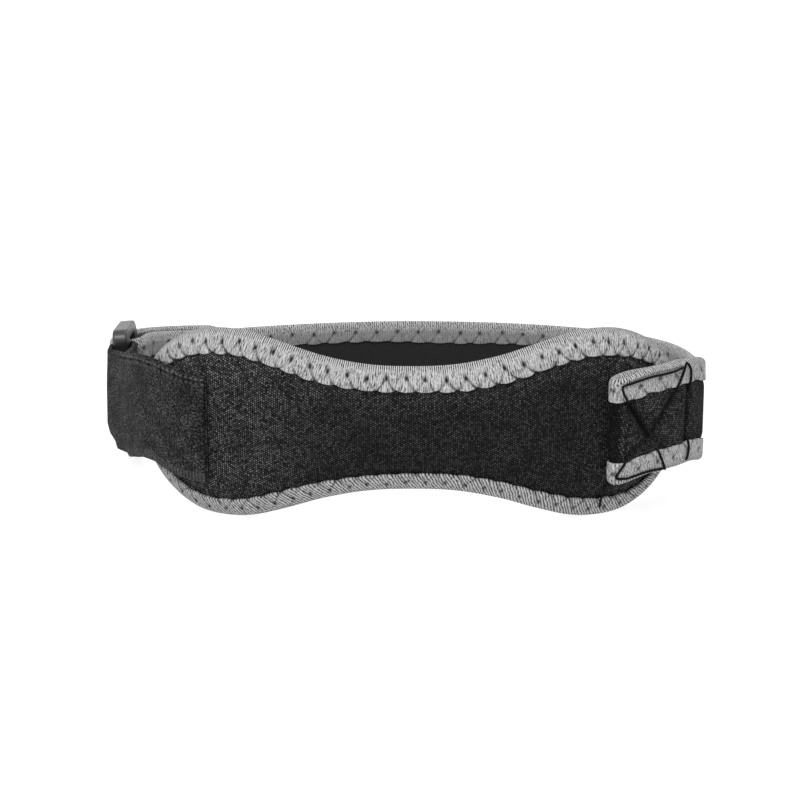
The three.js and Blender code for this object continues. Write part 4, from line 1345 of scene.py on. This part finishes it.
class PATELLA_OT_strap(bpy.types.Operator):
    """Build the strap: its knit cloth and the grey tape sewn round it, folded under at one end"""

    bl_idname = "patella.strap"
    bl_label = "Strap"

    def execute(self, context):
        grid = band_grid(
            on_band, STRAP_BAND, STRAP_LENGTH - 1.6, STRAP_GRID, strap_half_width, strap_half_height,
            strap_relief, strap_shade, strap_lit,
        )
        strap = make_piece("strap_cloth", [grid], "strap", "strap knit")
        whole = STRAP_EDGE[0]

        def width(q):
            return np.where(np.abs(q - whole / 2) < whole / 2 - 100, -0.3, 0.0)

        def furrow(q, inward):
            deep = 0.5 * bump(inward - 2.0, 0.55) - 0.25 * bump(inward - 0.9, 0.6)
            return window(q, *FURROW_AT) * deep

        # Painted shade on the faces where the strap's free end lies over the strap, away from the rim
        def between_layers(q, side, share):
            free = ease(q, STRAP_LENGTH - FREE_LENGTH - 20, STRAP_LENGTH - FREE_LENGTH)
            return 0.8 * free * (side > 0) * (q < whole / 2) * ease(share, 0.1, 0.26)

        half, pitch = STRAP_TAPE_HALF - 0.25, context.scene.strap_sizes.strap_stitch * 1000
        grid = tape_grid(
            on_strap_edge, whole, half, pitch, STRAP_TAPE_STEP, closed=False, hole=0.5, meet=0.37, seed=23,
            width=width, slant=lambda q: 0 * q + 0.35, gather=lambda q: 0 * q + 0.72,
            pinch=lambda q: 1.1 * bump(q - 57.4, 1.5), furrow=furrow, shade=between_layers,
        )
        tape = make_piece("strap_tape", [grid], "strap_binding", "grey tape")
        return {"FINISHED"}


class PATELLA_OT_tab(bpy.types.Operator):
    """Build the charcoal tab, folded round the ring's front bar and sewn onto the pad"""

    bl_idname = "patella.tab"
    bl_label = "Ring tab"

    def execute(self, context):
        grid = band_grid(
            on_tab, TAB_BAND, TAB_LENGTH, TAB_GRID, tab_half_width, tab_half_height, tab_relief, tab_shade,
            tab_lit,
        )
        tab = make_piece("tab_cloth", [grid], "ring_tab", "brushed cloth")
        return {"FINISHED"}


class PATELLA_OT_ring(bpy.types.Operator):
    """Build the moulded ring that the strap runs through"""

    bl_idname = "patella.ring"
    bl_label = "Ring"

    def execute(self, context):
        make_piece("ring", [ring_grid()], "ring_buckle", "ring plastic")
        return {"FINISHED"}


class PATELLA_OT_hook_patch(bpy.types.Operator):
    """Build the hook patch under the strap's free end"""

    bl_idname = "patella.hook_patch"
    bl_label = "Hook patch"

    def execute(self, context):
        make_piece("hook_cloth", [hook_grid()], "hook_patch", "strap knit")
        return {"FINISHED"}


class PATELLA_OT_threads(bpy.types.Operator):
    """Build the black threads that hold the strap's folded end"""

    bl_idname = "patella.threads"
    bl_label = "Threads"

    def execute(self, context):
        def on_strap(d, v, n):
            return on_band(STRAP_BAND, d, v, n)

        radius = context.scene.strap_sizes.thread_radius * 1000
        grids = [tube(thread_route(row, on_strap), radius) for row in THREAD_ROWS]
        grids.append(tube(thread_route(LOOSE_ROW, on_pad_edge), radius * 0.9))
        make_piece("threads", grids, None, "black thread")
        return {"FINISHED"}


class PATELLA_OT_stage(bpy.types.Operator):
    """Build the floor, the soft lights and the camera"""

    bl_idname = "patella.stage"
    bl_label = "Stage"

    def execute(self, context):
        studio = context.scene.strap_studio
        mesh = bpy.data.meshes.new("floor")
        corners = [(x * FLOOR_HALF, y * FLOOR_HALF, 0) for x, y in ((-1, -1), (1, -1), (1, 1), (-1, 1))]
        mesh.from_pydata(corners, [], [(0, 1, 2, 3)])
        place_object("floor", mesh, "pale floor")
        world = bpy.data.worlds.new("studio")
        world.use_nodes = True
        net = Net(world.node_tree)
        sky = net.add("ShaderNodeBackground", {0: grey(255), 1: studio.sky})
        net.add("ShaderNodeOutputWorld", {0: sky.outputs[0]})
        context.scene.world = world
        for name, place, size in LIGHT_ROWS:
            light = bpy.data.lights.new(name + " light", "AREA")
            light.energy = getattr(studio, name)
            light.size = size
            lamp = place_object(name + " light", light)
            lamp.location = place
            lamp.rotation_euler = (Vector(LIT_POINT) - Vector(place)).to_track_quat("-Z", "Y").to_euler()
        camera = place_object("camera", bpy.data.cameras.new("camera"))
        camera.data.lens, camera.data.sensor_width, camera.data.clip_end = LENS, SENSOR, 50.0
        back = np.array([0.0, -math.cos(studio.elevation), math.sin(studio.elevation)])
        camera.location = (CAMERA_TARGET + studio.distance * back).tolist()
        camera.rotation_euler = (math.pi / 2 - studio.elevation, 0.0, 0.0)
        context.scene.camera = camera
        context.scene.view_settings.view_transform = "Standard"
        return {"FINISHED"}


GROUPS = {"strap_sizes": StrapSizes, "strap_colours": StrapColours, "strap_studio": StrapStudio}
OPERATORS = (
    PATELLA_OT_materials, PATELLA_OT_pad, PATELLA_OT_pad_tape, PATELLA_OT_strap, PATELLA_OT_tab,
    PATELLA_OT_ring, PATELLA_OT_hook_patch, PATELLA_OT_threads, PATELLA_OT_stage,
)


class PATELLA_PT_strap(bpy.types.Panel):
    """The strap's sizes, colours, light and build steps"""

    bl_idname = "PATELLA_PT_strap"
    bl_label = "Patella strap"
    bl_space_type = "VIEW_3D"
    bl_region_type = "UI"
    bl_category = "Strap"

    def draw(self, context):
        for step in OPERATORS:
            self.layout.operator(step.bl_idname)
        for name, group in GROUPS.items():
            box = self.layout.box()
            for key in group.__annotations__:
                box.prop(getattr(context.scene, name), key)


CLASSES = (*GROUPS.values(), *OPERATORS, PATELLA_PT_strap)


def register():
    """Registers the classes and hangs the settings on the scene."""
    for kind in CLASSES:
        bpy.utils.register_class(kind)
    for name, group in GROUPS.items():
        setattr(bpy.types.Scene, name, PointerProperty(type=group))


def unregister():
    """Takes the settings and the classes away again."""
    for name in GROUPS:
        delattr(bpy.types.Scene, name)
    for kind in reversed(CLASSES):
        bpy.utils.unregister_class(kind)


def main():
    """Registers the add-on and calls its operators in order."""
    register()
    bpy.ops.patella.materials()
    bpy.ops.patella.pad()
    bpy.ops.patella.pad_tape()
    bpy.ops.patella.strap()
    bpy.ops.patella.tab()
    bpy.ops.patella.ring()
    bpy.ops.patella.hook_patch()
    bpy.ops.patella.threads()
    bpy.ops.patella.stage()


if __name__ == "__main__":
    main()
